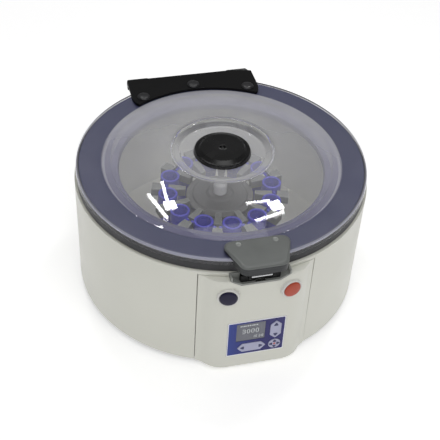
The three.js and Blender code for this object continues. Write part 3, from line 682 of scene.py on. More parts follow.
def front_panel():
    half_flat, face = KEYPAD.right + 0.5, -PANEL.front
    panel = solid("control_panel", module(PANEL, face, half_flat, PANEL_SEAM))
    eased(panel, 1.6, 4, 50)
    margin = 4
    window = block((KEYPAD.left + margin, AHEAD, KEYPAD.low + margin),
                   (KEYPAD.right - margin, -LEDGE_RADIUS, KEYPAD.high - margin))
    seat = prism(front_outline(KEYPAD, 1.2, GAP), AHEAD, PANEL.front + 1, "y")
    cut(panel, module(PANEL, face, half_flat, PANEL_SEAM, WALL), window, seat, pocket_room())
    for name in ("start_button_ring", "stop_button_ring"):
        at = Extent(name)
        cut(panel, facing(rod(BUTTON_HOLE, -20, 20, 48), at.x, at.y, at.z, (at.x, at.y, 0)))
    eased(panel, 0.3, 2, 55)
    piece(panel, "housing", SHELL_PAINT, "shell_white", "front_panel")


def rear_panel():
    half_flat, face = 44, REAR.back
    panel = solid("power_panel", spun(module(REAR, face, half_flat, REAR_SEAM), 180))
    eased(panel, 1.6, 4, 50)
    hollow = spun(module(REAR, face, half_flat, REAR_SEAM, WALL), 180)
    switch = Extent("power_switch")
    openings = [
        block((x - half, REAR_CUT, INLET.z - rise), (x + half, BEHIND, INLET.z + rise))
        for x, half, rise in ((INLET.x, 15, 11.5), (switch.x, 7.5, 13))
    ]
    vents = [prism(box_outline(-34, 34, z, z + 3, 1.4), REAR_CUT, BEHIND, "y") for z in (84, 91, 98, 105)]
    cut(panel, hollow, *openings, *vents)
    eased(panel, 0.4, 2, 55)
    piece(panel, "housing", SHELL_PAINT, "shell_white", "rear_panel")
    for i, (x, z) in enumerate(((-46, 20), (46, 20), (-46, 110), (46, 110))):
        y = face - 0.4 - (1.0 if abs(x) > half_flat else 0)
        screw("rear_screw_%d" % (i + 1), "housing", x, y, z, (0, 1, 0), 2.6, 1.4)


def screw(name, body, x, y, z, direction, radius, height, *nodes, material=None):
    """A pan-head screw with a cross recess."""
    slot_end = radius * 0.55
    corners = [(0, -height), (radius, -height), (radius, height * 0.4), (slot_end, height), (0, height)]
    head = solid(name, lathe(corners, [0, 0, height * 0.5, height * 1.2, 0], 32))
    bar, depth = radius * 0.14, height * 0.35
    cut(
        head,
        block((-slot_end, -bar, depth), (slot_end, bar, height * 2)),
        block((-bar, -slot_end, depth), (bar, slot_end, height * 2)),
    )
    redrawn(head, lambda bm: facing(bm, x, y, z, direction))
    return piece(head, body, material or SCREW_STEEL, "steel", *nodes)


def base_plate():
    at = Extent("base_plate")
    corners = [(0, at.low), (at.radius, at.low), (at.radius, at.high), (0, at.high)]
    plate = solid("base", lathe(corners, [0, 0.8, 0.8, 0], 120))
    slots = [spun(prism(box_outline(58, 92, -2.5, 2.5, 2.4), 0, 20), 45 * i) for i in range(8)]
    cut(plate, *slots)
    piece(plate, "housing", BASE_METAL, "motor_metal", "base_plate")
    for i in range(6):
        x, y = polar(168, 30 + 60 * i)
        screw("base_screw_%d" % (i + 1), "housing", x, y, at.low - 0.6, (0, 0, -1), 3.2, 1.2)


def chamber_bowl():
    """Bowl of sheet metal with a tower in its middle, whose roof has a hole for the shaft."""
    wall, tower, hole, roof = 2.5, 50.0, 9, 104
    outside = LEDGE_RADIUS - 3.5
    inside = outside - wall
    corners = [
        (tower - wall, BOWL.low),
        (outside, BOWL.low),
        (outside, BOWL.high - wall),
        (BOWL.radius, BOWL.high - wall),
        (BOWL.radius, BOWL.high),
        (inside, BOWL.high),
        (inside, BOWL.low + wall),
        (tower, BOWL.low + wall),
        (tower, roof),
        (hole, roof),
        (hole, roof - wall),
        (tower - wall, roof - wall),
    ]
    radii = [0.6, 15, 1.0, 0.5, 0.5, 3.0, 13, 8, 6, 0.5, 0.5, 4]
    bowl = solid("bowl", ring(rounded(corners, radii, 6), 140))
    piece(bowl, "housing", BOWL_METAL, "bowl_grey", "chamber_bowl")


def deck_ring():
    """Outer ring of the deck and the lip round the chamber's mouth."""
    mouth, split = 128.0, 163.0
    corners = [(170, DECK.low), (DECK.radius, DECK.low), (DECK.radius, DECK.high), (split + 0.2, DECK.high),
               (split + 0.2, DECK.high - 4), (170, DECK.high - 4)]
    deck = solid("deck", ring(rounded(corners, [0.4, 0.8, 1.0, 0.4, 0.3, 0.5]), 180))
    piece(deck, "housing", DECK_PLASTIC, "deck_dark", "deck_ring")
    # The lip is coloured dark lavender as painted shade of the chamber under it.
    corners = [(split, DECK.high), (mouth, DECK.high), (mouth, DECK.high - 8), (mouth + 3, DECK.high - 8),
               (mouth + 3, DECK.high - 4), (split, DECK.high - 4)]
    lip = solid("chamber_lip", ring(rounded(corners, [0.4, 2.4, 1.2, 0.8, 1.0, 0.3]), 180))
    piece(lip, "housing", LIP_SHADE, "bowl_grey", "deck_ring")
    at = Extent("lid_seal")
    low, high, outer = at.low, at.high, at.radius
    profile = rounded([
        (outer - 6, low), (outer, low), (outer, low + 1.6), (outer - 1.8, low + 2.2),
        (outer - 1.2, high), (outer - 4.8, high), (outer - 4.2, low + 2.2), (outer - 6, low + 1.6),
    ], 0.7, 3)
    piece(solid("seal", ring(profile, 140)), "housing", SEAL_GREY, "rubber", "lid_seal")


def feet():
    for i in range(4):
        node = "foot_%d" % (i + 1)
        at = Extent(node)
        corners = [(0, 0.6), (7, 0.6), (8, 0), (11, 0), (13, 2), (13.2, 4), (12.4, 4.6), (13.4, 5.4),
                   (14, at.high), (0, at.high)]
        stand = lathe(corners, [0, 0.4, 0.4, 0.8, 0.8, 0.4, 0.4, 0.4, 0.4, 0], 48, 3)
        made = solid("stand_%d" % (i + 1), shifted(stand, at.x, at.y, 0))
        piece(made, "housing", RUBBER, "rubber", node)


# ---- Hinge ----

HINGE_Y, HINGE_Z = PIN.y, PIN.z
KNUCKLE = PLATE.back - HINGE_Y
PIN_HOLE = 3.3


def hinge_bracket(side):
    node = "hinge_bracket_" + side
    at = Extent(node)
    outline = [(170, at.low), (188, at.low), (at.back - 2, 156), (at.back, HINGE_Z)]
    outline += arc(KNUCKLE, 0, 180, 16, (HINGE_Y, HINGE_Z))[1:]
    outline += [(HINGE_Y - KNUCKLE, 158), (170, 152)]
    bracket = solid(node + "_cast", prism(outline, at.left, at.right, "x"))
    cut(
        bracket,
        turned([(0, 100), (SHELL.radius + GAP, 100), (SHELL.radius + GAP, SHELL.high), (0, SHELL.high)], 120),
        facing(rod(PIN_HOLE, -40, 40, 32, 0.1), at.x, HINGE_Y, HINGE_Z, (1, 0, 0)),
        block((at.x - 6, 191, at.low - 5), (at.x + 6, 240, 150)),
    )
    eased(bracket, 0.7, 3, 45)
    piece(bracket, "housing", MATT_BLACK, "black_matt", node)
    screw(node + "_screw", "housing", at.x, 190.2, 136, (0, 1, 0), 3.4, 1.6)


def hinge_arm(start, end):
    rear = PLATE.back - 16.5
    outline = [(178, PLATE_LOW), (184, PLATE_LOW)] + [(HINGE_Y - KNUCKLE, HINGE_Z)]
    outline += arc(KNUCKLE, 180, 378, 20, (HINGE_Y, HINGE_Z))[1:]
    outline += [(HINGE_Y + 1, HINGE_Z + 9), (rear - 6, PLATE.high), (178, PLATE.high)]
    return prism(outline, start, end, "x")


def hinge_plate():
    half, rear, front = PLATE.right, PLATE.back - 16.5, 151.6
    end = math.degrees(math.acos(80 / front))
    outline = [(half, 160), (half, 181), (58, rear), (-half + 2, rear), (-half, rear - 2), (-half, 146)]
    left_end = (-80, math.sin(math.radians(end)) * front)
    outline += curve((-half, 146), (-86, 132), left_end)
    outline += arc(front, 180 - end, end, 40)[1:]
    outline += curve((80, left_end[1]), (86, 132), (half, 146))
    plate = solid("hinge_cover", prism(outline, PLATE_LOW, PLATE.high))
    joined(plate, hinge_arm(-84, -56), hinge_arm(56, 84))
    cut(plate, facing(rod(PIN_HOLE, -200, 200, 32, 0.1), 0, HINGE_Y, HINGE_Z, (1, 0, 0)))
    eased(plate, 0.7, 3, 40)
    piece(plate, "lid", MATT_BLACK, "black_matt", "hinge_plate")
    pin = facing(rod(PIN.z - PIN.low, PIN.left, PIN.right, 32, 0.8), 0, HINGE_Y, HINGE_Z, (1, 0, 0))
    piece(solid("pivot_pin", pin), "lid", STEEL, "steel", "hinge_pin")
    for place in ("left", "middle", "right"):
        node = "hinge_screw_" + place
        at = Extent(node)
        radius, height = at.radius, at.high - at.low
        dome = [(radius * 0.97 * math.cos(a), 1.0 + (height - 1.0) * math.sin(a))
                for a in (math.pi / 2 * k / 12 for k in range(12))]
        profile = [(0, 0), (radius, 0), (radius, 0.8)] + dome + [(0, height)]
        cap = solid("cap_" + place, shifted(turned(profile, 48), at.x, at.y, at.low))
        piece(cap, "lid", CAP_GREY, "black_gloss", node)


# ---- Lid ----

def dome_height(radius):
    """Height of the lid's outside over its crown, which grows flatter towards the middle."""
    return FLANGE + 19.5 * (1 - (radius / DOME_RADIUS) ** 2.3)


def lid_dome():
    """Flange with a deep rim, a low crown and a recess in the middle."""
    wall = 3.0
    crest = dome_height(61)
    crown = [DOME_RADIUS - (DOME_RADIUS - 61) * k / 22 for k in range(23)]
    outer = [(LID.radius, LID.low), (LID.radius, FLANGE)] + [(r, dome_height(r)) for r in crown]
    outer += [(57, 192), (54, 190.5), (11, 190.5)]
    inner = [(11, 190.5 - wall), (52, 190.5 - wall), (62, crest - wall)]
    inner += [(r, dome_height(r) - wall) for r in reversed(crown[2:-1])]
    inner += [(149, FLANGE - wall - 0.5), (LID.radius - 4, FLANGE - wall - 0.5), (LID.radius - 4, LID.low)]
    radii = [0.4, 1.3, 1.2] + [30] * 21 + [2.2, 2.0, 2.0, 0.3]
    radii += [0.3, 2.0, 4.0] + [30] * 20 + [0.6, 1.2, 0.4]
    lid = solid("clear_lid", ring(rounded(outer + inner, radii, 3), 240))
    piece(lid, "lid", CLEAR, "clear_lid", "lid_dome", sharp=60)
    under = FLANGE - wall - 0.5
    border = rounded([
        (DOME_RADIUS - 0.4, under - 0.25), (LID.radius - 4.2, under - 0.25),
        (LID.radius - 4.2, under - 0.05), (DOME_RADIUS - 0.4, under - 0.05),
    ], 0.05, 2)
    piece(solid("lid_border", ring(border, 240)), "lid", BORDER, "deck_dark")


def port_cap():
    at = Extent("port_cap")
    low = at.high - 7.8
    corners = [(0, at.low), (10, at.low), (10, low), (at.radius, low), (at.radius, at.high - 2.2),
               (at.radius - 3.2, at.high), (27, at.high), (6, at.high), (4.2, at.high), (3.9, at.high - 0.4),
               (1.3, at.high - 0.4), (1.1, at.high - 1.4), (0, at.high - 1.4)]
    radii = [0, 0.5, 0.4, 1.0, 2.2, 4.5, 0, 0, 0.1, 0.1, 0.1, 0.1, 0]
    cap = solid("cap", lathe(corners, radii, 120, 6))
    for i in range(8):
        cut(cap, shifted(rod(0.42, at.high - 0.5, at.high + 1, 10, 0.05), *polar(2.6, 45 * i), 0))
    piece(cap, "lid", GLOSS_BLACK, "black_gloss", "port_cap")
    nut = Extent("port_nut")
    grip = solid("port_ring", prism(knurled(nut.radius, 0.7, 96, 4, 2), nut.low, nut.high))
    cut(grip, rod(10.3, nut.low - 5, nut.high + 5, 64, 0.1))
    piece(grip, "lid", MATT_BLACK, "black_matt", "port_nut")


# ---- Latch ----

def latch_outline(inset):
    back, front = LATCH.back - inset, LATCH.front + inset
    half = LATCH.right - inset
    right = [(18 - inset, front)]
    right += curve(right[0], (27 - inset, front), (29 - inset, front + 8))
    right += [(half, back - 11)]
    right += curve((half, back - 11), (half, back), (half - 11, back))
    return mirrored(right)


def latch_handle():
    """Handle in three shells: the cover on top, the body under it and the skirt that hangs down."""
    low, high = PLATE_LOW, LATCH.high
    shells = {
        "handle": [(0.3, high - 3.6), (0, high - 3.2), (0.5, high - 1.7), (1.6, high - 0.5), (3.4, high)],
        "handle_body": [(0.5, low), (0.2, low + 0.6), (0.2, high - 3.6)],
        "skirt": [(1.6, LATCH.low), (0.7, LATCH.low + 1.0), (0.2, high - 4.2)],
    }
    handle, body, skirt = (
        solid(name, loft([(latch_outline(inset), z) for inset, z in layers]))
        for name, layers in shells.items()
    )
    cut(skirt, block((-60, LID.front - 0.6, 100), (60, 0, ABOVE)))
    for part in (body, skirt):
        cut(part, block((-17, -198, 150), (17, -183, 183.3)))
    cut(skirt, block((-60, -230, low + 0.1), (60, 0, ABOVE)))
    # Body and skirt take the darker grey, painted shade below the cover.
    piece(body, "lid", SKIRT_SHADE, "latch_grey", "latch_handle")
    eased(skirt, 0.35, 2, 50)
    piece(skirt, "lid", SKIRT_SHADE, "latch_grey", "latch_handle")
    nodes = {side: "latch_screw_" + side for side in ("left", "right")}
    for node in nodes.values():
        at = Extent(node)
        cut(handle, shifted(rod(3.5, high - 2.2, high + 5, 32, 0.1), at.x, at.y, 0))
    eased(handle, 0.35, 2, 50)
    piece(handle, "lid", LATCH_PLASTIC, "latch_grey", "latch_handle")
    for side, node in nodes.items():
        at = Extent(node)
        screw("handle_screw_" + side, "lid", at.x, at.y, high - 1.0, (0, 0, 1), 3.0, 0.9, node,
              material=PLUG_GREY)


def latch_shackle():
    at = Extent("latch_shackle")
    shackle = solid("shackle", block((at.left, at.front, 174), (at.right, -187, at.high)))
    for side in (-1, 1):
        inner, outer = sorted((side * 12.5, side * 16.0))
        joined(shackle, prism(box_outline(-192.6, -187.4, at.low, 175, 1.2), inner, outer, "x"))
    bar = Extent("latch_bar")
    cut(shackle, facing(rod(2.1, -30, 30, 24, 0.1), 0, bar.y, bar.z, (1, 0, 0)))
    eased(shackle, 0.4, 2, 50)
    piece(shackle, "lid", MATT_BLACK, "black_matt", "latch_shackle")
    round_bar = rod((bar.high - bar.low) / 2, bar.left, bar.right, 24, 0.4)
    facing(round_bar, 0, bar.y, bar.z, (1, 0, 0))
    piece(solid("striker_bar", round_bar), "lid", STEEL, "steel", "latch_bar")


def latch_pocket():
    """The tray in the front edge, the guides in it, the solenoid behind it and the catch."""
    inner_back = POCKET.back - 2
    tray = solid("tray", prism(pocket_outline(0), PANEL.front + GAP, POCKET.back, "y"))
    cut(
        tray,
        prism(pocket_outline(-2), AHEAD, inner_back, "y"),
        block((-60, AHEAD, POCKET.high), (60, 0, ABOVE)),
        block((-6, -188.3, 140), (6, -181.6, 155)),
    )
    eased(tray, 0.5, 3, 40)
    # The tray's mid grey is painted shade inside the pocket.
    piece(tray, "housing", TRAY_SHADE, "shell_white", "latch_pocket")
    for name, side in (("left", -1), ("right", 1)):
        inner, outer = sorted((side * 6.4, side * 24))
        room = block((inner, -186.7, POCKET.low + 2), (outer, inner_back, 159))
        guide = eased(solid("latch_guide_" + name, room), 0.8, 3, 50)
        piece(guide, "housing", MATT_BLACK, "black_matt")
    coil, sheet, coil_top = Extent("lock_solenoid"), 2.5, 134.0
    bracket = solid("solenoid_frame", block((coil.left, coil.front, coil.low), (coil.right, coil.back, 137)))
    cut(bracket, block((coil.left + sheet, coil.front - 5, coil.low + sheet),
                       (coil.right - sheet, coil.back - 2, coil_top + 0.5)))
    for x in (-7.6, 7.6):
        joined(bracket, prism(box_outline(coil.front, -181, 136, coil.high, 1.5), x - 1.6, x + 1.6, "x"))
    eased(bracket, 0.3, 2, 50)
    piece(bracket, "housing", STEEL, "steel", "lock_solenoid")
    corners = [(0, coil.low + 3), (4, coil.low + 3), (4, coil_top), (0, coil_top)]
    winding = lathe(corners, [0, 0.8, 0.8, 0], 40)
    wound = shifted(winding, 0, (coil.front + coil.back) / 2 - 1.1, 0)
    piece(solid("solenoid_coil", wound), "housing", COPPER, "steel")
    hook = Extent("lock_catch")
    catch = solid("catch_hook", block((hook.left, -184.2, hook.low), (hook.right, hook.back, hook.high)))
    joined(catch, block((hook.left, hook.front, hook.high - 2.5), (hook.right, -183, hook.high)))
    eased(catch, 0.4, 2, 50)
    piece(catch, "catch", STEEL, "steel", "lock_catch")


# ---- Controls ----

FILM_FACE = KEYPAD.front
BUTTON_RADIUS = 10.5


def printed(name, body, material, outline, face=FILM_FACE, raised=0.12, slot="key_lavender"):
    """A thin printed mark on the front."""
    mark = solid(name, prism(outline, face - raised, face + 0.1, "y"))
    return piece(mark, body, material, slot)


def triangle(x, z, size, degrees):
    """An arrow head that points up when degrees is 0."""
    return rounded([polar(size, turn + degrees, x, z) for turn in (90, 210, 330)], size * 0.12)


def hexagon(at, share, upright, inset=0.0):
    """Outline of a long key with a point at both ends. share is how far its straight sides reach."""
    half_w, half_h = at.radius - inset, (at.high - at.low) / 2 - inset
    if upright:
        right = [(0, -half_h), (half_w, -half_h * share), (half_w, half_h * share), (0, half_h)]
        corners = right + [(-half_w, half_h * share), (-half_w, -half_h * share)]
    else:
        corners = [(-half_w * share, -half_h), (half_w * share, -half_h), (half_w, 0),
                   (half_w * share, half_h), (-half_w * share, half_h), (-half_w, 0)]
    return rounded([(at.x + x, at.z + z) for x, z in corners], 1.4)


def keys():
    up_down, left_right, run = Extent("key_up_down"), Extent("key_left_right"), Extent("key_run")
    outlines = {
        "key_up_down": hexagon(up_down, 0.58, True),
        "key_left_right": hexagon(left_right, 0.64, False),
        "key_run": arc(run.radius, 0, 360 - 9, 39, (run.x, run.z)),
    }
    for node, outline in outlines.items():
        at = Extent(node)
        cap = solid(node + "_cap", prism(outline, at.front, at.back, "y"))
        eased(cap, 0.45, 3, 50)
        piece(cap, node, KEY_FILM, "key_lavender", node)
    marks = [
        ("arrow_up", "key_up_down", triangle(up_down.x, up_down.z + 8.2, 2.6, 0)),
        ("arrow_down", "key_up_down", triangle(up_down.x, up_down.z - 8.2, 2.6, 180)),
        ("arrow_left", "key_left_right", triangle(left_right.x - 11.0, left_right.z, 2.4, 90)),
        ("arrow_right", "key_left_right", triangle(left_right.x + 11.0, left_right.z, 2.4, -90)),
    ]
    for i in range(4):
        x, z = polar(4.3, 90 * i + 90, run.x, run.z)
        marks.append(("run_mark_%d" % (i + 1), "key_run", triangle(x, z, 1.9, 90 * i)))
    for name, body, outline in marks:
        printed(name, body, PRINT_DARK, outline, up_down.front)
    printed("run_dot", "key_run", PRINT_RED, arc(1.5, 0, 345, 23, (run.x, run.z)), up_down.front)
    return outlines


def keypad():
    """Printed film with a pale border and with openings for the keys and the display."""
    outlines = keys()
    outer, inner = front_outline(KEYPAD, 1.4), front_outline(KEYPAD, 0.8, -1.5)
    border = solid("keypad_border", prism(outer, FILM_FACE, KEYPAD.back, "y"))
    cut(border, prism(inner, AHEAD, 0, "y"))
    piece(border, "housing", BORDER_PRINT, "key_lavender", "keypad_frame")
    film = solid("keypad_film", prism(inner, FILM_FACE + 0.05, KEYPAD.back, "y"))
    key_gap = 0.35
    for node, outline in outlines.items():
        at = Extent(node)
        middle = Vector((at.x, at.z))
        wider = []
        for point in outline:
            away = Vector(point) - middle
            wider.append(tuple(middle + away * (1 + key_gap / away.length)))
        cut(film, prism(wider, AHEAD, 0, "y"))
    cut(film, prism(front_outline(DISPLAY, 0.8), AHEAD, 0, "y"))
    piece(film, "housing", overlay_film(), "keypad_blue", "keypad_frame")


SEGMENTS = {"0": "abcdef", "1": "bc", "3": "abgcd", "5": "afgcd"}


def digit(symbol, x, z, width, height, stroke):
    """Seven-segment strokes of a digit as boxes (left, right, low, high)."""
    half = height / 2
    places = {
        "a": (0, width, height - stroke, height),
        "g": (0, width, half - stroke / 2, half + stroke / 2),
        "d": (0, width, 0, stroke),
        "f": (0, stroke, half, height),
        "b": (width - stroke, width, half, height),
        "e": (0, stroke, 0, half),
        "c": (width - stroke, width, 0, half),
    }
    return [
        (x + left, x + right, z + low, z + high)
        for left, right, low, high in (places[segment] for segment in SEGMENTS[symbol])
    ]


def display():
    """Window with a large and a small reading and a row of short marks above them."""
    face = DISPLAY.front + 0.1
    glass = solid("display_window", prism(front_outline(DISPLAY, 0.6), face, DISPLAY.back, "y"))
    eased(glass, 0.25, 2, 50)
    piece(glass, "housing", LCD_GREY, "display_grey", "display")
    strokes = []
    for i, symbol in enumerate("3000"):
        strokes += digit(symbol, DISPLAY.left + 7.5 + i * 5.4, DISPLAY.low + 12.2, 3.9, 7.2, 0.95)
    for i, symbol in enumerate("1530"):
        x = DISPLAY.left + 20.5 + i * 3.3 + (1.0 if i > 1 else 0)
        strokes += digit(symbol, x, DISPLAY.low + 3.6, 2.3, 4.2, 0.65)
    top = DISPLAY.high - 5.0
    x = DISPLAY.left + 4.5
    while x < DISPLAY.right - 9:
        width = chance.uniform(0.9, 2.6)
        strokes.append((x, x + width, top, top + 1.8))
        x += width + 0.8
    bm = bmesh.new()
    for left, right, low, high in strokes:
        bar = prism(box_outline(left, right, low, high), face - 0.1, face + 0.2, "y")
        part = bpy.data.meshes.new("part")
        bar.to_mesh(part)
        bar.free()
        bm.from_mesh(part)
        bpy.data.meshes.remove(part)
    piece(solid("display_marks", bm), "housing", LCD_MARK, "display_grey")


def button(node, material, slot):
    """A domed cap in a collar, both on the panel's sloping face."""
    at, collar = Extent(node), Extent(node + "_ring")
    out = Vector((collar.x, collar.y, 0)).normalized()
    seat = out * (-PANEL.front / abs(out.y))
    place = (seat.x, seat.y, at.z, out)
    radius, bore, rim = BUTTON_RADIUS, BUTTON_RADIUS + GAP, BUTTON_HOLE - 0.2
    turns = [math.pi / 2 * k / 10 for k in range(10)]
    dome = [(9.9 * math.cos(t), 3.0 + 1.5 * math.sin(t)) for t in turns]
    profile = [(0, -4), (radius, -4), (radius, 2.4), (radius - 0.2, 2.8)] + dome + [(0, 4.5)]
    piece(solid(node + "_cap", facing(turned(profile, 56), *place)), node, material, slot, node)
    corners = [(bore, -6), (rim, -6), (rim, 0.5), (12.0, 1.5), (11.3, 1.5), (11.0, 0), (bore, -1)]
    profile = rounded(corners, [0.2, 0.2, 0.3, 0.3, 0.3, 0.3, 0.2], 3)
    band = solid(node + "_collar", facing(ring(profile, 56), *place))
    piece(band, "housing", COLLAR, "key_lavender", node + "_ring")


# ---- Power side ----

def power_side():
    """Mains inlet with its contacts, and the rocker of the mains switch with its marks."""
    face, inner = INLET.back, 186
    flange = solid("inlet", prism(front_outline(INLET, 4), 199.8, face, "y"))
    eased(flange, 0.8, 3, 50)
    joined(flange, block((INLET.x - 14.5, INLET.front, INLET.z - 11), (INLET.x + 14.5, 200.5, INLET.z + 11)))
    shape = [(-12, -8.5), (12, -8.5), (12, 4.5), (8, 8.5), (-8, 8.5), (-12, 4.5)]
    cut(flange, prism(rounded([(INLET.x + x, INLET.z + z) for x, z in shape], 1.0), inner, BEHIND, "y"))
    eased(flange, 0.3, 2, 60)
    piece(flange, "housing", MATT_BLACK, "black_matt", "power_inlet")
    for name, dx, dz in (("left", -7, -1.5), ("middle", 0, 2.5), ("right", 7, -1.5)):
        x, z = INLET.x + dx, INLET.z + dz
        outline = box_outline(x - 1.0, x + 1.0, z - 2.4, z + 2.4, 0.3)
        blade = eased(solid("contact_" + name, prism(outline, inner, 200.5, "y")), 0.4, 2, 50)
        piece(blade, "housing", BRASS, "steel")
    for name, side in (("left", -1), ("right", 1)):
        screw("inlet_screw_" + name, "housing", INLET.x + side * 20, face - 0.8, INLET.z, (0, 1, 0), 2.6, 1.0)

    at = Extent("power_switch")

    def rocked(bm):
        """Tips a shape drawn about the rocker's pivot to its rest position."""
        return shifted(spun(bm, -7, "X"), 0, 198.5, INLET.z)

    side_view = [(-6, -9), (1.4, -11.9), (0.9, -6), (0, 0), (0.9, 6), (1.4, 11.9), (-6, 9)]
    rocker = rocked(prism(rounded(side_view, [0.5, 1, 8, 8, 8, 1, 0.5]), at.left, at.right, "x"))
    rocker = eased(solid("rocker", rocker), 0.5, 3, 50)
    piece(rocker, "power_switch", GLOSS_BLACK, "black_matt", "power_switch")
    circle = (0, 345, 23, (at.x, -7.4))
    bar = solid("on_mark", prism(box_outline(at.x - 0.45, at.x + 0.45, 5.4, 9.4), 0.3, 1.25, "y"))
    hoop = solid("off_mark", prism(arc(2.0, *circle), 0.3, 1.25, "y"))
    cut(hoop, prism(arc(1.3, *circle), -5, 5, "y"))
    for mark in (bar, hoop):
        piece(redrawn(mark, rocked), "power_switch", LCD_MARK, "black_matt")


def boards():
    """The CAD boards keep their shape and get their finish, with capacitors soldered on one."""
    for node in ("control_board", "power_board"):
        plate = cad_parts[node]
        plate.data.materials.clear()
        plate.data.materials.append(BOARD)
    low = Extent("power_board").low + 1.6
    for i, (x, y, radius) in enumerate(((-30, 112, 6), (-46, 114, 4), (36, 112, 7), (50, 100, 3))):
        can = solid("capacitor_%d" % (i + 1), shifted(rod(radius, 0, 6.5, 32, 0.6), x, y, low))
        piece(can, "housing", STEEL, "steel")


# ---- Drive and rotor ----

def drive():
    corners = [(0, 16), (36, 16), (38, 18), (38, 30), (37, 31), (37, 74), (38, 75), (38, 88), (34, 92),
               (14, 92), (14, 98), (6.5, 98), (6.5, 30), (0, 30)]
    radii = [0, 1, 1, 0.5, 0.5, 0.5, 0.5, 1, 1.5, 1, 1, 0.3, 0.3, 0]
    body = solid("motor_case", lathe(corners, radii, 80, 3))
    piece(body, "housing", BASE_METAL, "motor_metal", "motor")
    mount = Extent("motor_mount")
    rubber = rounded([(19, mount.low), (44, mount.low), (44, mount.high), (19, mount.high)], 1.4)
    piece(solid("motor_cushion", ring(rubber, 72)), "housing", RUBBER, "rubber", "motor_mount")
    shaft = Extent("motor_shaft")
    piece(solid("spindle", rod(6, shaft.low, shaft.high, 40, 0.8)), "rotor", STEEL, "steel", "motor_shaft")


HOLDERS = [Extent("tube_holder_%02d" % (i + 1)) for i in range(12)]
PIVOT_Z = HOLDERS[0].high - 7
HOLDER_RING = math.hypot(HOLDERS[0].x, HOLDERS[0].y)
HOLDER_DEPTH = PIVOT_Z - HOLDERS[0].low
TRUNNION_END = 16.3
HALF_PITCH = 15
ROTOR_TURN = math.degrees(math.atan2(HOLDERS[0].y, HOLDERS[0].x))


def rotor():
    """Hub with a stepped disc, twelve arms whose notches carry the trunnions, and a grooved nut."""
    top = PIVOT_Z
    hub = solid("rotor_hub", turned(rounded([
        (6.3, top - 18), (15, top - 18), (15, top - 9), (44, top - 9), (44, top - 4), (36, top - 4),
        (34, top - 2.6), (18, top - 2.6), (15, top), (6.3, top),
    ], [0.3, 0.8, 2.0, 1.2, 1.4, 0.8, 0.8, 1.5, 1.0, 0.3], 4), 96, closed=True))
    piece(hub, "rotor", HUB_GREY, "rotor_aluminium", "rotor_spider")
    flare, tip = HOLDER_RING + 7, HOLDER_RING + 20
    shape = [(38, -3), (flare, -3), (tip, -8), (tip, 8), (flare, 3), (38, 3)]
    tilt = math.radians(HALF_PITCH)
    rest = HOLDER_RING * math.cos(tilt) + (TRUNNION_END - 1.1) * math.sin(tilt)
    outline = rounded(shape, [0, 4, 1.2, 1.2, 4, 0])
    for i in range(12):
        arm = solid("rotor_arm_%02d" % (i + 1), prism(outline, top - 8, top + 3))
        cut(arm, block((rest - 3.2, -6, top - 2.6), (rest + 3.2, 6, top + 9)),
            block((20, -6, top - 20), (44.3, 6, top + 9)))
        eased(arm, 0.6, 3, 45)
        redrawn(arm, lambda bm: spun(bm, ROTOR_TURN + HALF_PITCH + 2 * HALF_PITCH * i))
        # Arms in the darker grey: painted shade, with painted highlights on their edges.
        piece(arm, "rotor", ARM_SHADED_ALUMINIUM, "rotor_aluminium")
    nut = Extent("rotor_nut")
    knob = solid("rotor_knob", prism(knurled(nut.radius, 0.45, 72, 3, 1), nut.low, nut.low + 12))
    shoulder = nut.radius - 0.4
    crown = [(0, nut.low + 11), (shoulder, nut.low + 11), (shoulder, nut.low + 13.2),
             (5.6, nut.high - 2.2), (0, nut.high)]
    joined(knob, lathe(crown, [0, 0, 1.0, 3.0, 0], 48, 5))
    cut(knob, rod(6.3, nut.low - 5, nut.low + 13, 40, 0.1))
    eased(knob, 0.3, 2, 50)
    # The nut's near white is a painted highlight.
    piece(knob, "rotor", NUT_HIGHLIGHT, "steel", "rotor_nut")


def tube_holders():
    """Swing-out holders, one mesh shared by all twelve, each drawn about its own trunnion axis."""
    low, body, rim, bore = -HOLDER_DEPTH, 11.2, 12.5, 9.2
    corners = [(0, low), (5.5, low), (8.6, 2 + low), (body, 10 + low), (body, -9.5), (rim, -7.6), (rim, 7),
               (bore, 7), (bore, 11 + low), (0, 5 + low)]
    holder = solid("holder_form", lathe(corners, [0, 1.5, 2, 6, 1.0, 1.0, 1.1, 1.1, 2, 0], 48))
    for side in (-1, 1):
        pin = rod(2.0, 9.8, TRUNNION_END, 20, 0.5)
        joined(holder, facing(pin, 0, 0, 0, (0, side, 0)))
    eased(holder, 0.3, 2, 60)
    shared = holder.data
    bpy.data.objects.remove(holder)
    for i, at in enumerate(HOLDERS):
        label = "%02d" % (i + 1)
        made = bpy.data.objects.new("holder_" + label, shared)
        bpy.context.scene.collection.objects.link(made)
        turn = ROTOR_TURN + 2 * HALF_PITCH * i
        made.location = Vector((*polar(HOLDER_RING, turn), PIVOT_Z)) * MM
        made.rotation_euler.z = math.radians(turn)
        piece(made, "holder_" + label, HOLDER_BLUE, "holder_blue", "tube_holder_" + label)


# ---- Studio ----

def studio():
    world = bpy.data.worlds.new("studio")
    bpy.context.scene.world = world
    world.use_nodes = True
    backdrop = world.node_tree.nodes["Background"]
    backdrop.inputs["Color"].default_value = (1.0, 1.0, 1.0, 1)
    backdrop.inputs["Strength"].default_value = 0.2

    mesh = bmesh.new()
    bmesh.ops.create_grid(mesh, x_segments=2, y_segments=2, size=6)
    floor = solid("floor", mesh)
    nodes = Nodes("floor_paper")
    shade = nodes.mixed(nodes.ranged(nodes.noise(300), 0, 1), (0.90, 0.90, 0.90, 1), (0.92, 0.92, 0.92, 1))
    nodes.feed(nodes.shader, Base_Color=shade, Roughness=0.8, Emission_Color=(1, 1, 1, 1),
               Emission_Strength=0.42)
    floor.data.materials.append(nodes.material)


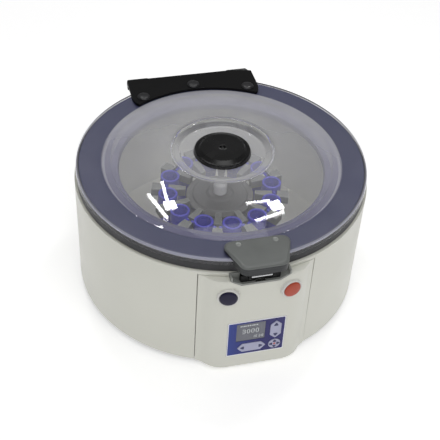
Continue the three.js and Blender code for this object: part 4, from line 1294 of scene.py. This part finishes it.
def lamp(name, azimuth, elevation, width, height, radiance, roll=0.0, distance=2.0, target=(0, 0, 0.17)):
    """A soft box. Azimuth 0 is in front of the object and 90 on its right. A roll tips its top to
    the right."""
    a, e = math.radians(azimuth), math.radians(elevation)
    away = Vector((math.sin(a) * math.cos(e), -math.cos(a) * math.cos(e), math.sin(e)))
    data = bpy.data.lights.new(name, "AREA")
    data.shape = "RECTANGLE"
    data.size, data.size_y = width, height
    data.energy = radiance * math.pi * width * height
    made = bpy.data.objects.new(name, data)
    made.location = Vector(target) + away * distance
    turn = away.to_track_quat("Z", "Y") @ Matrix.Rotation(math.radians(-roll), 3, "Z").to_quaternion()
    made.rotation_euler = turn.to_euler()
    bpy.context.scene.collection.objects.link(made)


def lamps():
    lamp("left_window_side", -160.5, 59.5, 0.035, 0.44, 28, 9)
    lamp("left_window_bar", -170, 55, 0.03, 0.34, 28, 17)
    lamp("left_window", -167, 61, 0.12, 0.13, 40, 12)
    lamp("right_window_side", 131, 62.5, 0.035, 0.34, 28, 22)
    lamp("right_window_bar", 143.5, 59, 0.03, 0.24, 28, 49)
    lamp("right_window", 134, 57.5, 0.14, 0.13, 40, 25)
    lamp("front_box", -5, 55, 2.8, 0.75, 3.0, distance=2.4)
    lamp("ceiling_box", 0, 88, 1.5, 1.5, 1.2, distance=2.2)


def camera():
    azimuth, elevation, roll = (math.radians(value) for value in (-16.32, 41.42, 3.42))
    away = Vector((math.sin(azimuth) * math.cos(elevation), -math.cos(azimuth) * math.cos(elevation),
                   math.sin(elevation)))
    level = Vector((0, 0, 1)).cross(away).normalized()
    upright = away.cross(level)
    right = level * math.cos(roll) + upright * math.sin(roll)
    top = upright * math.cos(roll) - level * math.sin(roll)
    data = bpy.data.cameras.new("camera")
    data.lens = 85.5
    data.sensor_width = 36
    made = bpy.data.objects.new("camera", data)
    pose = Matrix((right, top, away)).transposed().to_4x4()
    pose.translation = Vector((0.0022, 0, 0.0776)) + away * 1.376
    made.matrix_world = pose
    bpy.context.scene.collection.objects.link(made)
    bpy.context.scene.camera = made
    bpy.context.scene.view_settings.view_transform = "Standard"


camera()
outer_shell()
front_panel()
rear_panel()
base_plate()
chamber_bowl()
deck_ring()
feet()
hinge_bracket("left")
hinge_bracket("right")
hinge_plate()
lid_dome()
port_cap()
latch_handle()
latch_shackle()
latch_pocket()
keypad()
display()
button("start_button", BUTTON_BLUE, "button_blue")
button("stop_button", BUTTON_RED, "button_red")
power_side()
boards()
drive()
rotor()
tube_holders()
studio()
lamps()
